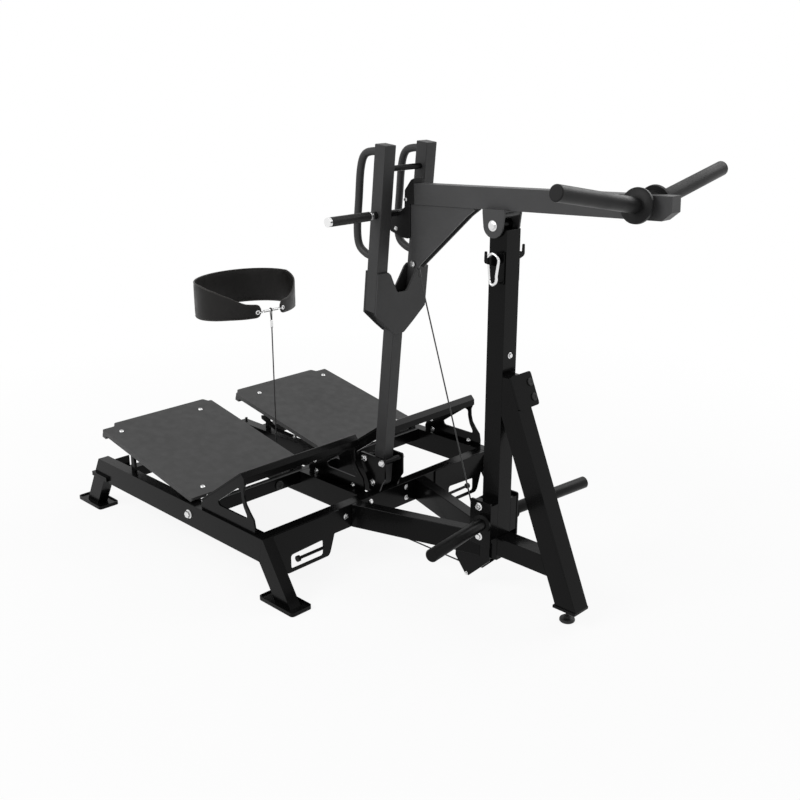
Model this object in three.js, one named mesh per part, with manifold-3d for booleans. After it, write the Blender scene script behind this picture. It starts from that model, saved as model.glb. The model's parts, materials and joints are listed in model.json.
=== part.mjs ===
// Belt squat machine: a lever-loaded frame with two tilting foot decks, a hand-operated lock mast,
// and a cable that runs under two pulleys to a waist belt. Millimetres, +Z up, weight horns towards +X.
// The symmetry plane is Y = 0; the near side is -Y. X is measured from the upright's axis until the
// last lines, which move the whole group so that X = 0 is the middle of its length.
import * as THREE from "three";
import { mergeVertices } from "three/addons/utils/BufferGeometryUtils.js";
import Module from "manifold-3d";

const wasm = await Module();
wasm.setup();

// Clearances
const SEAT = 0.3; // gap left where one piece rests on, or is welded or bolted to, another
const RUN = 0.5; // radial gap round a pin that turns
const SINK = 1; // depth by which the bodies of one welded piece run into each other
const BEYOND = 3000; // reach of the tools that cut a piece off
const MERGE = 1e-4;

// Stock sizes
const RAIL_W = 50;
const RAIL_H = 100;
const POST = 76;
const HALF = POST / 2;
const PLATE = 8;
const THIN = 6;
const PIN_R = 8;
const CABLE_R = 3;

// Base frame
const RAIL_TOP = 246;
const RAIL_LOW = RAIL_TOP - RAIL_H;
const RAIL_OUT = 675; // outer face of the side rails
const RAIL_IN = RAIL_OUT - RAIL_W;
const SPAN = RAIL_IN - SEAT; // half length of the cross members
const REAR_X = -1764; // top rear corner of the side rails
const FRONT_X = -580; // front face of the front cross member
const REAR_SLOPE = 0.563; // run over rise of the splayed rear legs
const FRONT_SLOPE = 0.641; // and of the front legs
const MITRE_RUN = 25; // how far the joint of rail and front leg leans back
const LEG_REAR_RUN = 87; // leg width along the floor
const LEG_FRONT_RUN = 90;
const FLANGE_Z = 166; // where the rear legs bolt up under the rails
const FLANGE_T = 10;
const FLANGE_RUN = 74; // the flanges run this far forward of the top rear corner
const FLANGE_BACK = 3; // and this far behind the leg
const FLANGE_OVER = 12; // and out past the rail
const FOOT_T = 10;
const FOOT_RIM_T = 5;
const FOOT_RIM_H = 16;
const FOOT_CORNER = 15;
const FOOT_INSIDE = 28; // foot plates reach this far inside the rail
const FOOT_OUTSIDE = 21; // and this far outside it
const REAR_FOOT_BEHIND = 47; // behind the heel of the rear leg
const REAR_FOOT_L = 193;
const FRONT_FOOT_AHEAD = 29; // ahead of the toe of the front leg
const FRONT_FOOT_L = 201;
const MID_BACK = -1032;
const MID_FRONT = -1000;
const MID_LOW = 190;
const REAR_SET = 54; // the rear cross member stands this far ahead of the rails' top corner
const REAR_BACK = REAR_X + REAR_SET;
const REAR_TUBE = 50;
const REAR_FRONT = REAR_BACK + REAR_TUBE;
const REAR_UPSTAND = 72; // width of the upright plates at both ends of the rear cross member
const INNER_IN = 83; // inner face of the two inner rails
const INNER_OUT = INNER_IN + RAIL_W;
const INNER_TAIL = 17; // the inner rails run this far out behind the rear cross member
const INNER_BACK = REAR_BACK - INNER_TAIL;
const STUB_L = 22; // how far the deck pivots stand out of the rails

// Handle plates: [distance in from the side rail, height]
const HANDLE_REACH = 340;
const HANDLE_OUTLINE = [
  [SEAT, RAIL_TOP],
  [HANDLE_REACH, RAIL_TOP],
  [HANDLE_REACH, 154],
  [311, 153],
  [287, 77],
  [276, 64],
  [67, 62],
  [53, 74],
  [28, 150],
  [SEAT, 154],
];
const HANDLE_WINDOW = [
  [250, 77],
  [83, 77],
  [83, 137],
  [250, 145],
];
const WINDOW_CORNER = 13;
const PEG_Z = 108;
const PEG_FROM = 253;
const PEG_TO = 120;
const PEG_R = 6.5;
const PEG_HEAD_R = 12.5;
const PEG_HEAD_T = 12;

// Upright, stay and braces
const UPRIGHT_LOW = 150;
const UPRIGHT_TOP = 1406;
const STRUT_LOW = 170;
const STAY_SLOPE = 0.4187; // run over rise of the rear stay
const STAY_OUT_X = 406; // outer edge of the stay at the height below
const STAY_AT_Z = 76;
const STAY_RUN = 92; // width of the stay along the floor
const STAY_TOP = 880;
const STAY_LOW = 68;
const STAY_FOOT_T = 10;
const STAY_FOOT_BACK = 8;
const STAY_FOOT_SIDE = 4;
const BRACE_GAP = 68; // between a handle plate and the V brace beside it
const BRACE_OUT = RAIL_IN - HANDLE_REACH - BRACE_GAP; // outer face of a V brace at the cross member
const BRACE_END = 46.27; // and where it meets the upright
const BRACE_SLOPE = (BRACE_OUT - BRACE_END) / (-HALF - FRONT_X);
const BRACE_RUN = 52.4;
const PULLEY_SLOT = [-172, -46, 14, 168]; // back, front, half width and top of the room for the pulley
const CABLE_SLOT = [-150, -46, 8];
const STOP_LOW = 769;
const STOP_HIGH = 886;
const STOP_SIDE = 78; // the stop plate overhangs the stay to here
const STOP_CORNER = 12;
const STOP_HOLE_Y = 58;
const STOP_HOLE_R = 9;
const STOP_HOLES_Z = [798, 850];
const BUMPER_Z = 954;
const BUMPER_R = 17;
const BUMPER_T = 17;
const BUMPER_NOSE_R = 13;
const BUMPER_NOSE_T = 21;

// Cable run
const PULLEY_R = 50; // to the middle of the cable
const PULLEY_LIP = 3;
const PULLEY_W = 11; // half width
const PULLEY_GROOVE = 4;
const PULLEY_SHOULDER = 6;
const FOOT_PULLEY = [-105, 106];
const CENTRE_PULLEY = [-1273, 106];
const BELT_X = CENTRE_PULLEY[0] - PULLEY_R;
const HOUSING_OUTLINE = [
  [-160, RAIL_LOW - SEAT],
  [-162, 107],
  [-113, 47],
  [-105, 41],
  [-92, 41],
  [9, 137],
  [9, 207],
  [SEAT - HALF, 207],
  [SEAT - HALF, RAIL_LOW - SEAT],
];
const KEEPER = [-102, 47.4];
const KEEPER_R = 4;
const SPACER = [-40, 112];
const SPACER_R = 5;
const BRIDGE_HALF = 25;
const BRIDGE_Z = 168;
const BRIDGE_T = 10;
const PULLEY_EAR_IN = 15;
const PULLEY_EAR_R = 28;
const PULLEY_PIN_END = 24;

// Storage horns low on the upright
const STORE_FACE = [-60, 40, 215, 395];
const STORE_CORNER = 9;
const STORE_BOX = [-56, HALF, RAIL_TOP + SEAT, 384];
const STORE_OUT = 83; // outer face of the bracket
const STORE_ROOT = [4, 310];
const STORE_END = [85, 458, 338];
const STORE_PROFILE = [
  [0, 0],
  [36, 0],
  [36, 56],
  [24, 60],
  [24, 420],
  [22, 423],
  [0, 423],
];
const STORE_BURIED = 40;

// Hooks on both faces of the upright, and the clip that hangs on the near one
const HOOK_X = 1.5;
const HOOK_T = 6;
const HOOK_PLATE = [-14, 34, 1216, 1328];
const HOOK_CORNER = 8;
const HOOK_OUTLINE = [
  [HALF + THIN / 2, 1319],
  [70, 1318.6],
  [90, 1315],
  [99, 1311],
  [100, 1339],
  [109, 1339],
  [110, 1303],
  [104, 1296],
  [66, 1284],
  [HALF + THIN / 2, 1278],
];
const HOOK_ROUND = 4;
const CLIP_Y = -68;
const CLIP_R = 5.3;
const CLIP_PATH = [
  [-17.4, 1306.6],
  [-16.4, 1313],
  [-10.5, 1321],
  [2, 1325.5],
  [14.5, 1321.5],
  [25.5, 1311],
  [28, 1298],
  [21, 1250],
  [22, 1238],
  [17, 1224],
  [5.5, 1216.5],
  [-5.5, 1221.5],
  [-9.2, 1233],
];
const GATE_R = 4;
const GATE_PIVOT = [-9.2, 1237.6];
const GATE_TOP = [-17, 1304.6];

// Levelling foot
const FOOT_STEM_X = 348;
const LEVELLER = [
  [0, 0],
  [25, 0],
  [29, 4],
  [29, 9],
  [27, 14],
  [13, 16],
  [13, 24],
  [6, 26],
  [6, STAY_LOW - STAY_FOOT_T - SEAT],
  [0, STAY_LOW - STAY_FOOT_T - SEAT],
];

// Lock mast
const MAST_PIVOT = [-618, 283];
const MAST_LEAN = 0.1;
const MAST_STRETCH = Math.hypot(1, MAST_LEAN);
const MAST_BOX = 55;
const TUBE = MAST_BOX / 2;
const MAST_Y = 110; // centre of each mast upright
const MAST_TOP = 1670;
const MAST_FOOT = 1040;
const TUBE_TOP = 985;
const FORK_T = 8;
const FORK_TAB = 30;
const CHEEK_IN = 48;
const CHEEK_OUTLINE = [
  [-692, 402],
  [-692, 372],
  [-640, 268],
  [-640, RAIL_TOP + SEAT],
  [-582, RAIL_TOP + SEAT],
  [-560, 296],
  [-547, 312],
  [-547, 402],
];
const CHEEK_CORNER = 7;
const MAST_STOPS = [
  [-668, 380],
  [-563, 383],
];
const MAST_STOP_R = 12;
const MAST_SOLE = [-640, -582];
const FORK_HALF = [
  [MAST_Y + TUBE, 1196],
  [84, 1196],
  [70, 1185],
  [31, 1116],
  [22, 1108],
];
const FORK_LOW = [
  [26, 938],
  [72, 975],
  [MAST_Y + TUBE, 1032],
];
const WEB_GAP = 4; // under the feet of the mast uprights
const FORK_WEB = [
  [TUBE + SEAT, 946],
  [70, 983],
  [108, 1030],
  [92, MAST_FOOT - WEB_GAP],
  [TUBE + SEAT, 1010],
];
const GRIP_Z = 1413;
const GRIP_R = 12.5;
const SLEEVE_R = 17.5;
const GRIP_END = 378;
const GRIP_CAP = 366; // the chromed cap covers the bar from here to its end
const SLEEVE_END = 172;
const RING_END = 160;
const BAR_Z = 1580;
const BAR_R = 11;
const GRAB_R = 15;
const GRAB_PATH = [
  [0, 1638],
  [-30, 1637],
  [-76, 1618],
  [-94, 1564],
  [-95, 1450],
  [-94, 1336],
  [-77, 1275],
  [-34, 1251],
  [0, 1249],
];

// Lever
const PIVOT = [-16, 1418];
const PIVOT_R = 19;
const BEAM_SLOPE = 0.0446; // the beam climbs towards the weight horns
const BEAM_H = 76;
const BEAM_HALF = 25;
const BEAM_Z0 = 1469.9; // underside of the beam over x = 0
const BEAM_BACK = -414;
const BEAM_END = 655;
const BEAM_NOSE = [34, 26]; // chamfer under the free end
const EAR_IN = 42;
const EAR_R = 43;
const EAR_BACK = -46;
const EAR_FRONT = 50;
const EAR_SHOULDER = 12;
const EAR_WELD = 5;
const BRACE_BAR_R = 10;
const BRACE_BAR_X = 38;
const BOLT_HEAD_R = 14;
const BOLT_HEAD_T = 9;
const TIP = [-422, 1227]; // pin that holds the lever cable
const TIP_R = 6;
const TIP_OVER = 6;
const GUSSET_Y = 20;
const GUSSET_X = [-436, -128];
const GUSSET_LOW = [
  [-435, 1221],
  [-428, 1213],
  [-399, 1213],
  [-387, 1228],
  [-164, 1430],
  [-128, 1456],
];
const HOOK_TOP = [
  [-420, 1546],
  [-433, 1540],
  [-465, 1500],
  [-466, 1437],
  [-478, 1426],
];
const HOOK_LOW = [
  [-540, 1395],
  [-548, 1388],
  [-546, 1346],
  [-536, 1338],
  [-474, 1321],
  [-450, 1320],
  [-436.4, 1326],
];
const LEDGE_RUN = 14; // level part of the seat beyond the middle of the bar
const HORN_R = 25;
const HORN_X = 550;
const HORN_Z = 1542;
const HORN_RISE = 0.181;
const HORN_BACK = 0.012;
const HORN_FROM = 5;
const HORN_COLLAR = 60;
const HORN_END = 471;
const HORN_EDGE = 3; // bevel round the free end
const HORN_PROFILE = [
  [0, 0],
  [40, 0],
  [40, 42],
  [56, 44],
  [56, 56],
  [50, HORN_COLLAR],
  [HORN_R, HORN_COLLAR],
  [HORN_R, HORN_END - HORN_EDGE],
  [HORN_R - HORN_EDGE, HORN_END],
  [0, HORN_END],
];

// Decks
const DECK_PIVOT = [-1060, 199];
const DECK_TILT = Math.atan(126 / 675);
const DECK_H = 68.7; // deck surface above the pivot, square to the deck
const DECK_T = 20;
const DECK_FRONT = -3;
const DECK_BACK = -689;
const DECK_LAP = 10; // the decks reach this far past the inner rails
const DECK_SHORT = 12; // and end this far inside the outer faces of the side rails
const DECK_IN = INNER_IN - DECK_LAP;
const DECK_OUT = RAIL_OUT - DECK_SHORT;
const DECK_CORNER = 7;
const TAB_L = 27; // the tab along the rear edge
const TAB_IN = 30;
const TAB_STEP = 18;
const TAB_OUT = 76;
const TAB_OUT_STEP = 60;
const RIB_L = 28;
const RIB_H = 16;
const DECK_BEVEL = [9, 7];
const ARM_L = 150;
const ARM_DROP = 22;
const EYE_R = 20;
const ARM_INSET = 14; // deck arms inside the side rail
const ARM_GAP = 6; // and outside the inner rail
const LUG_X = -472;
const LUG_DROP = 17;
const LUG_R = 15;
const LUG_FOOT = 22;
const LUG_GAP = [17, 45]; // lugs from the inner rail and from the side rail
const LUG_IN = INNER_OUT + LUG_GAP[0];
const LUG_OUT = RAIL_IN - LUG_GAP[1];

// Props under the decks
const PROP_R = 7;
const PROP_T = 12;
const PROP_HALF = 11;
const PROP_FOOT = 15;
const PROP_SET = [19, 9]; // prop legs from the inner faces of the two rails
const LINK_GAP = 7;
const PROP_IN = INNER_IN + PROP_SET[0];
const PROP_OUT = RAIL_IN + PROP_SET[1];
const LINK_IN = INNER_IN - LINK_GAP;
const LINK_T = 6;
const LINK_OUTLINE = [
  [-1531, 324],
  [-1506, 328],
  [-1458, 309],
  [-1420, 286],
  [-1272, 283],
  [-1272, 269],
  [-1424, 270],
  [-1464, 288],
  [-1530, 306],
];
const LINK_CORNER = 6;

// Toe rests
const TOE_IN = DECK_IN;
const TOE_SHORT = 7;
const TOE_CHEEK_SET = 19;
const TOE_OUT = RAIL_OUT - TOE_SHORT;
const TOE_CHEEKS = [INNER_IN + SINK, RAIL_OUT - TOE_CHEEK_SET];
const TOE_PLATE = [
  [-977, 289],
  [-707, 479],
  [-701, 479],
  [-684, 461],
  [-683, 435],
  [-689, 435],
  [-690, 459],
  [-704, 472],
  [-706, 471],
  [-973, 283.5],
];
const TOE_CHEEK = [
  [-974, 287],
  [-706, 475],
  [-701, 475],
  [-687, 460],
  [-686, 434],
  [-695, 413],
  [-693, 383],
  [-685, 355],
  [-664, 328],
  [-641, 303],
  [-635, 273],
  [-635, RAIL_TOP + SEAT],
  [-980, RAIL_TOP + SEAT],
  [-985, 262],
];
const TOE_WINDOW = [
  [-868, 313],
  [-730, 411],
  [-712, 404],
  [-711, 378],
  [-700, 340],
  [-680, 308],
  [-686, 297],
  [-858, 297],
];
const TOE_CORNER = 8;

// Cable ends, link and belt
const CABLE_EYE_R = 11;
const CABLE_EYE_T = 3;
const SWAGE_R = 6.5;
const SWAGE_L = 44;
const FERRULE_Z = 811;
const FERRULE_R = 7;
const FERRULE_TOP = 850;
const LINK_Z = 894;
const LINK_R = 5;
const LINK_HALF = 56.3;
const LINK_BACK = 4;
const BELT_CENTRE = -1507;
const BELT_HALF = [184, 247]; // half widths of the loop along X and Y
const BELT_T = 8;
const BELT_OPEN = 0.235;
const BELT_SIDE = [
  [-1800, 862],
  [-1430, 862],
  [-1340, 872],
  [-1300, 874],
  [-1300, 914],
  [-1340, 925],
  [-1430, 1008],
  [-1800, 1020],
];
const BELT_Z = [850, 1030];

const PAINT = new THREE.MeshStandardMaterial({ color: 0x0b0b0c, roughness: 0.25 });
const SATIN = new THREE.MeshStandardMaterial({ color: 0x1a1b1d, roughness: 0.5 });
const DECKING = new THREE.MeshStandardMaterial({ color: 0x232426, roughness: 0.9 });
const RUBBER = new THREE.MeshStandardMaterial({ color: 0x101011, roughness: 0.8 });
const STEEL = new THREE.MeshStandardMaterial({ color: 0xb9bcc0, metalness: 1, roughness: 0.25 });
const LEATHER = new THREE.MeshStandardMaterial({ color: 0x1c1613, roughness: 0.6 });
const PLASTIC = new THREE.MeshStandardMaterial({ color: 0x151516, roughness: 0.45 });

const machine = new THREE.Group();
machine.name = "belt_squat_machine";

// Solids and booleans
function solid(geometry) {
  const loose = geometry.index ? geometry.toNonIndexed() : geometry;
  const bare = new THREE.BufferGeometry().setAttribute("position", loose.getAttribute("position"));
  const merged = mergeVertices(bare, MERGE);
  return new wasm.Manifold(
    new wasm.Mesh({
      numProp: 3,
      vertProperties: new Float32Array(merged.attributes.position.array),
      triVerts: new Uint32Array(merged.index.array),
    }),
  );
}

function geometryOf(piece) {
  const m = piece.getMesh();
  const geometry = new THREE.BufferGeometry();
  geometry.setAttribute("position", new THREE.BufferAttribute(new Float32Array(m.vertProperties), 3));
  geometry.setIndex(new THREE.BufferAttribute(new Uint32Array(m.triVerts), 1));
  const flat = geometry.toNonIndexed();
  flat.computeVertexNormals();
  return flat;
}

function node(name, piece, material, group = machine) {
  const mesh = new THREE.Mesh(geometryOf(piece), material);
  mesh.name = name;
  group.add(mesh);
  return mesh;
}

function join(first, ...rest) {
  return rest.reduce((sum, piece) => sum.add(piece), first);
}

function cut(piece, ...tools) {
  return tools.reduce((left, tool) => left.subtract(tool), piece);
}

// Primitives
function box(x0, x1, y0, y1, z0, z1) {
  const g = new THREE.BoxGeometry(x1 - x0, y1 - y0, z1 - z0);
  g.translate((x0 + x1) / 2, (y0 + y1) / 2, (z0 + z1) / 2);
  return solid(g);
}

// Rounds the corners of an outline; a corner gives up at most this share of its sides.
const CORNER_SHARE = 0.45;
function rounded(points, radius, steps = 5) {
  const out = [];
  points.forEach((p, i) => {
    const before = points[(i + points.length - 1) % points.length];
    const after = points[(i + 1) % points.length];
    const a = new THREE.Vector2(before[0] - p[0], before[1] - p[1]);
    const b = new THREE.Vector2(after[0] - p[0], after[1] - p[1]);
    const reach = Math.min(radius, a.length() * CORNER_SHARE, b.length() * CORNER_SHARE);
    a.setLength(reach);
    b.setLength(reach);
    for (let k = 0; k <= steps; k++) {
      const t = k / steps;
      const s = 1 - t;
      out.push([p[0] + a.x * s * s + b.x * t * t, p[1] + a.y * s * s + b.y * t * t]);
    }
  });
  return out;
}

function outline(points) {
  const shape = new THREE.Shape();
  points.forEach(([u, v], i) => (i ? shape.lineTo(u, v) : shape.moveTo(u, v)));
  shape.closePath();
  return shape;
}

// An outline in X and Z, extruded from y0 to y1.
function sheetXZ(points, y0, y1) {
  const g = new THREE.ExtrudeGeometry(outline(points), { depth: y1 - y0, bevelEnabled: false });
  g.rotateX(Math.PI / 2);
  g.translate(0, y1, 0);
  return solid(g);
}

// An outline in Y and Z, extruded from x0 to x1.
function sheetYZ(points, x0, x1) {
  const g = new THREE.ExtrudeGeometry(outline(points), { depth: x1 - x0, bevelEnabled: false });
  const turn = new THREE.Matrix4().makeBasis(
    new THREE.Vector3(0, 1, 0),
    new THREE.Vector3(0, 0, 1),
    new THREE.Vector3(1, 0, 0),
  );
  g.applyMatrix4(turn);
  g.translate(x0, 0, 0);
  return solid(g);
}

// An outline in X and Y, extruded from z0 to z1.
function sheetXY(points, z0, z1) {
  const g = new THREE.ExtrudeGeometry(outline(points), { depth: z1 - z0, bevelEnabled: false });
  g.translate(0, 0, z0);
  return solid(g);
}

function rod(from, to, radius, sides = 24) {
  const a = new THREE.Vector3(...from);
  const b = new THREE.Vector3(...to);
  const along = b.clone().sub(a);
  const g = new THREE.CylinderGeometry(radius, radius, along.length(), sides);
  const turn = new THREE.Quaternion().setFromUnitVectors(
    new THREE.Vector3(0, 1, 0),
    along.clone().normalize(),
  );
  g.applyQuaternion(turn);
  g.translate((a.x + b.x) / 2, (a.y + b.y) / 2, (a.z + b.z) / 2);
  return solid(g);
}

function wire(points, radius, steps, sides = 12, tension = 0.5) {
  const path = new THREE.CatmullRomCurve3(
    points.map((q) => new THREE.Vector3(...q)),
    false,
    "catmullrom",
    tension,
  );
  const ring = new THREE.Shape();
  for (let i = 0; i < sides; i++) {
    const a = (2 * Math.PI * i) / sides;
    const u = radius * Math.cos(a);
    const v = radius * Math.sin(a);
    if (i) ring.lineTo(u, v);
    else ring.moveTo(u, v);
  }
  ring.closePath();
  return solid(new THREE.ExtrudeGeometry(ring, { steps, extrudePath: path, bevelEnabled: false }));
}

// A turned profile of [radius, distance] pairs about a line from one point towards another.
function turnedAlong(profile, from, to, sides) {
  const g = new THREE.LatheGeometry(
    profile.map(([r, h]) => new THREE.Vector2(r, h)),
    sides,
  );
  const a = new THREE.Vector3(...from);
  const along = new THREE.Vector3(...to).sub(a).normalize();
  g.applyQuaternion(new THREE.Quaternion().setFromUnitVectors(new THREE.Vector3(0, 1, 0), along));
  g.translate(a.x, a.y, a.z);
  return solid(g);
}

// A turned profile of [radius, y] pairs about the Y axis, moved to (x, y, z).
function turnedY(profile, x, y, z, sides = 40) {
  const g = new THREE.LatheGeometry(
    profile.map(([r, h]) => new THREE.Vector2(r, h)),
    sides,
  );
  g.translate(x, y, z);
  return solid(g);
}

// A turned profile of [radius, z] pairs about the Z axis.
function turnedZ(profile, x, y, z, sides = 40) {
  const g = new THREE.LatheGeometry(
    profile.map(([r, h]) => new THREE.Vector2(r, h)),
    sides,
  );
  g.rotateX(Math.PI / 2);
  g.translate(x, y, z);
  return solid(g);
}

function arc(cx, cz, r, from, to, steps) {
  const points = [];
  for (let i = 0; i <= steps; i++) {
    const a = from + ((to - from) * i) / steps;
    points.push([cx + r * Math.cos(a), cz + r * Math.sin(a)]);
  }
  return points;
}

const SIDES = [
  ["near", -1],
  ["far", 1],
];

// The Y range of a piece that lies from a to b away from the symmetry plane, on one side.
function away(side, a, b) {
  return side < 0 ? [-b, -a] : [a, b];
}

function rearEdge(z) {
  return REAR_X - REAR_SLOPE * (RAIL_TOP - z);
}

function frontEdge(z) {
  return FRONT_X + SEAT + THIN / 2 + FRONT_SLOPE * (RAIL_TOP - z);
}

function stayOuter(z) {
  return STAY_OUT_X - (z - STAY_AT_Z) * STAY_SLOPE;
}

function beamUnder(x) {
  return BEAM_Z0 + BEAM_SLOPE * x;
}

// A foot plate with rounded corners and a low rim.
function foot(x0, x1, y0, y1) {
  const plan = (inset) =>
    rounded(
      [
        [x0 + inset, y0 + inset],
        [x1 - inset, y0 + inset],
        [x1 - inset, y1 - inset],
        [x0 + inset, y1 - inset],
      ],
      FOOT_CORNER - inset,
    );
  const well = sheetXY(plan(FOOT_RIM_T), FOOT_T, FOOT_RIM_H + SINK);
  return cut(sheetXY(plan(0), 0, FOOT_RIM_H), well);
}

// Side rails, each with the stub of its rear leg, an upper flange and the outer pivot of its deck
for (const [word, side] of SIDES) {
  const [y0, y1] = away(side, RAIL_IN, RAIL_OUT);
  const flangeEnd = REAR_X + FLANGE_RUN;
  const flangeBack = rearEdge(FLANGE_Z) - FLANGE_BACK;
  const rail = sheetXZ(
    [
      [REAR_X, RAIL_TOP],
      [rearEdge(FLANGE_Z + SEAT), FLANGE_Z + SEAT],
      [flangeEnd, FLANGE_Z + SEAT],
      [flangeEnd, RAIL_LOW],
      [FRONT_X - MITRE_RUN, RAIL_LOW],
      [FRONT_X, RAIL_TOP],
    ],
    y0,
    y1,
  );
  const [f0, f1] = away(side, RAIL_IN + SINK, RAIL_OUT + FLANGE_OVER);
  const flange = box(flangeBack, flangeEnd, f0, f1, FLANGE_Z + SEAT, FLANGE_Z + FLANGE_T);
  const stub = rod(
    [DECK_PIVOT[0], side * (RAIL_IN + PLATE), DECK_PIVOT[1]],
    [DECK_PIVOT[0], side * (RAIL_IN - STUB_L), DECK_PIVOT[1]],
    PIN_R,
  );
  node(word + "_side_rail", join(rail, flange, stub), PAINT);

  const legTop = FLANGE_Z - SINK;
  const legLow = FOOT_T - SINK;
  const leg = sheetXZ(
    [
      [rearEdge(legTop), legTop],
      [rearEdge(legLow), legLow],
      [rearEdge(legLow) + LEG_REAR_RUN, legLow],
      [rearEdge(legTop) + LEG_REAR_RUN, legTop],
    ],
    y0,
    y1,
  );
  const lower = box(flangeBack, flangeEnd - SEAT, f0, f1, FLANGE_Z - FLANGE_T, FLANGE_Z);
  const heel = rearEdge(0) - REAR_FOOT_BEHIND;
  const [p0, p1] = away(side, RAIL_IN - FOOT_INSIDE, RAIL_OUT + FOOT_OUTSIDE);
  node(word + "_rear_leg", join(leg, lower, foot(heel, heel + REAR_FOOT_L, p0, p1)), PAINT);

  const frontLeg = sheetXZ(
    [
      [FRONT_X + SEAT, RAIL_TOP],
      [FRONT_X + SEAT - MITRE_RUN, RAIL_LOW],
      [frontEdge(RAIL_LOW) - LEG_FRONT_RUN, RAIL_LOW - SINK],
      [frontEdge(legLow) - LEG_FRONT_RUN, legLow],
      [frontEdge(legLow), legLow],
      [frontEdge(RAIL_TOP), RAIL_TOP],
    ],
    y0,
    y1,
  );
  const toe = frontEdge(0) + FRONT_FOOT_AHEAD;
  node(word + "_front_leg", join(frontLeg, foot(toe - FRONT_FOOT_L, toe, p0, p1)), PAINT);
}

// Cross members; the rear one lies low and carries an upright plate against each side rail
const REAR_TOP = RAIL_LOW + REAR_TUBE;
const upstands = SIDES.map(([, side]) => {
  const [y0, y1] = away(side, SPAN - REAR_UPSTAND, SPAN);
  return box(REAR_BACK, REAR_BACK + PLATE, y0, y1, REAR_TOP - SINK, RAIL_TOP);
});
node(
  "rear_cross_member",
  join(box(REAR_BACK, REAR_FRONT, -SPAN, SPAN, RAIL_LOW, REAR_TOP), ...upstands),
  PAINT,
);
node("mid_cross_member", box(MID_BACK, MID_FRONT, -SPAN, SPAN, MID_LOW, RAIL_TOP), PAINT);
node("front_cross_member", box(FRONT_X - RAIL_W, FRONT_X, -SPAN, SPAN, RAIL_LOW, RAIL_TOP), PAINT);

// Inner rails, notched over the rear and mid cross members, with the inner pivot of each deck
const notches = [
  box(
    MID_BACK - SEAT,
    MID_FRONT + SEAT,
    -INNER_OUT - PLATE,
    INNER_OUT + PLATE,
    MID_LOW - SEAT,
    RAIL_TOP + PLATE,
  ),
  box(
    REAR_BACK - SEAT,
    REAR_FRONT + SEAT,
    -INNER_OUT - PLATE,
    INNER_OUT + PLATE,
    RAIL_LOW - PLATE,
    REAR_TOP + SEAT,
  ),
];
for (const [word, side] of SIDES) {
  const [y0, y1] = away(side, INNER_IN, INNER_OUT);
  const rail = box(INNER_BACK, FRONT_X - RAIL_W - SEAT, y0, y1, RAIL_LOW, RAIL_TOP);
  const stub = rod(
    [DECK_PIVOT[0], side * (INNER_OUT - PLATE), DECK_PIVOT[1]],
    [DECK_PIVOT[0], side * (INNER_OUT + STUB_L), DECK_PIVOT[1]],
    PIN_R,
  );
  node(word + "_inner_rail", join(cut(rail, ...notches), stub), PAINT);
}

// Handle plates on the front cross member, each with a window that a peg reaches into
for (const [word, side] of SIDES) {
  const at = (list) => list.map(([inward, z]) => [side * (RAIL_IN - inward), z]);
  const face = FRONT_X + SEAT;
  const body = sheetYZ(rounded(at(HANDLE_OUTLINE), THIN), face, face + THIN);
  const hole = sheetYZ(rounded(at(HANDLE_WINDOW), WINDOW_CORNER), face - THIN, face + THIN * 2);
  const mid = face + THIN / 2;
  const peg = rod(
    [mid, side * (RAIL_IN - PEG_FROM), PEG_Z],
    [mid, side * (RAIL_IN - PEG_TO), PEG_Z],
    PEG_R,
    16,
  );
  const head = rod(
    [mid, side * (RAIL_IN - PEG_TO - PEG_HEAD_T / 2), PEG_Z],
    [mid, side * (RAIL_IN - PEG_TO + PEG_HEAD_T / 2), PEG_Z],
    PEG_HEAD_R,
  );
  node(word + "_handle_plate", join(cut(body, hole), peg, head), PAINT);
}

// V braces from the front cross member to the upright, slotted for the foot pulley and its cable
const braceY = (x) => BRACE_OUT - BRACE_SLOPE * (x - FRONT_X);
const pulleyRoom = box(
  PULLEY_SLOT[0],
  PULLEY_SLOT[1],
  -PULLEY_SLOT[2],
  PULLEY_SLOT[2],
  RAIL_LOW - SINK,
  PULLEY_SLOT[3],
);
const cableRoom = box(
  CABLE_SLOT[0],
  CABLE_SLOT[1],
  -CABLE_SLOT[2],
  CABLE_SLOT[2],
  RAIL_LOW - SINK,
  RAIL_TOP + SINK,
);
for (const [word, side] of SIDES) {
  const x0 = FRONT_X + SEAT;
  const x1 = -HALF - SEAT;
  const meet = FRONT_X + (BRACE_OUT - BRACE_RUN) / BRACE_SLOPE;
  const plan = [
    [x0, side * braceY(x0)],
    [x0, side * (braceY(x0) - BRACE_RUN)],
    [meet, side * SEAT],
    [x1, side * SEAT],
    [x1, side * braceY(x1)],
  ];
  node(word + "_v_brace", cut(sheetXY(plan, RAIL_LOW, RAIL_TOP), pulleyRoom, cableRoom), PAINT);
}

// Upright with the pivot sleeve on top, its strut and stay
const sleeve = rod([PIVOT[0], -HALF, PIVOT[1]], [PIVOT[0], HALF, PIVOT[1]], PIVOT_R, 32);
const sleeveBore = rod([PIVOT[0], -POST, PIVOT[1]], [PIVOT[0], POST, PIVOT[1]], PIN_R + RUN);
const upright = join(box(-HALF, HALF, -HALF, HALF, UPRIGHT_LOW, UPRIGHT_TOP), sleeve);
node("upright", cut(upright, sleeveBore), PAINT);
const stayInner = (z) => stayOuter(z) - STAY_RUN;
node(
  "lower_strut",
  sheetXZ(
    [
      [HALF + SEAT, STRUT_LOW],
      [HALF + SEAT, RAIL_TOP],
      [stayInner(RAIL_TOP) - SEAT, RAIL_TOP],
      [stayInner(STRUT_LOW) - SEAT, STRUT_LOW],
    ],
    -HALF,
    HALF,
  ),
  PAINT,
);
const stayMeets = STAY_AT_Z + (STAY_OUT_X - STAY_RUN - HALF - SEAT) / STAY_SLOPE;
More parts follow.
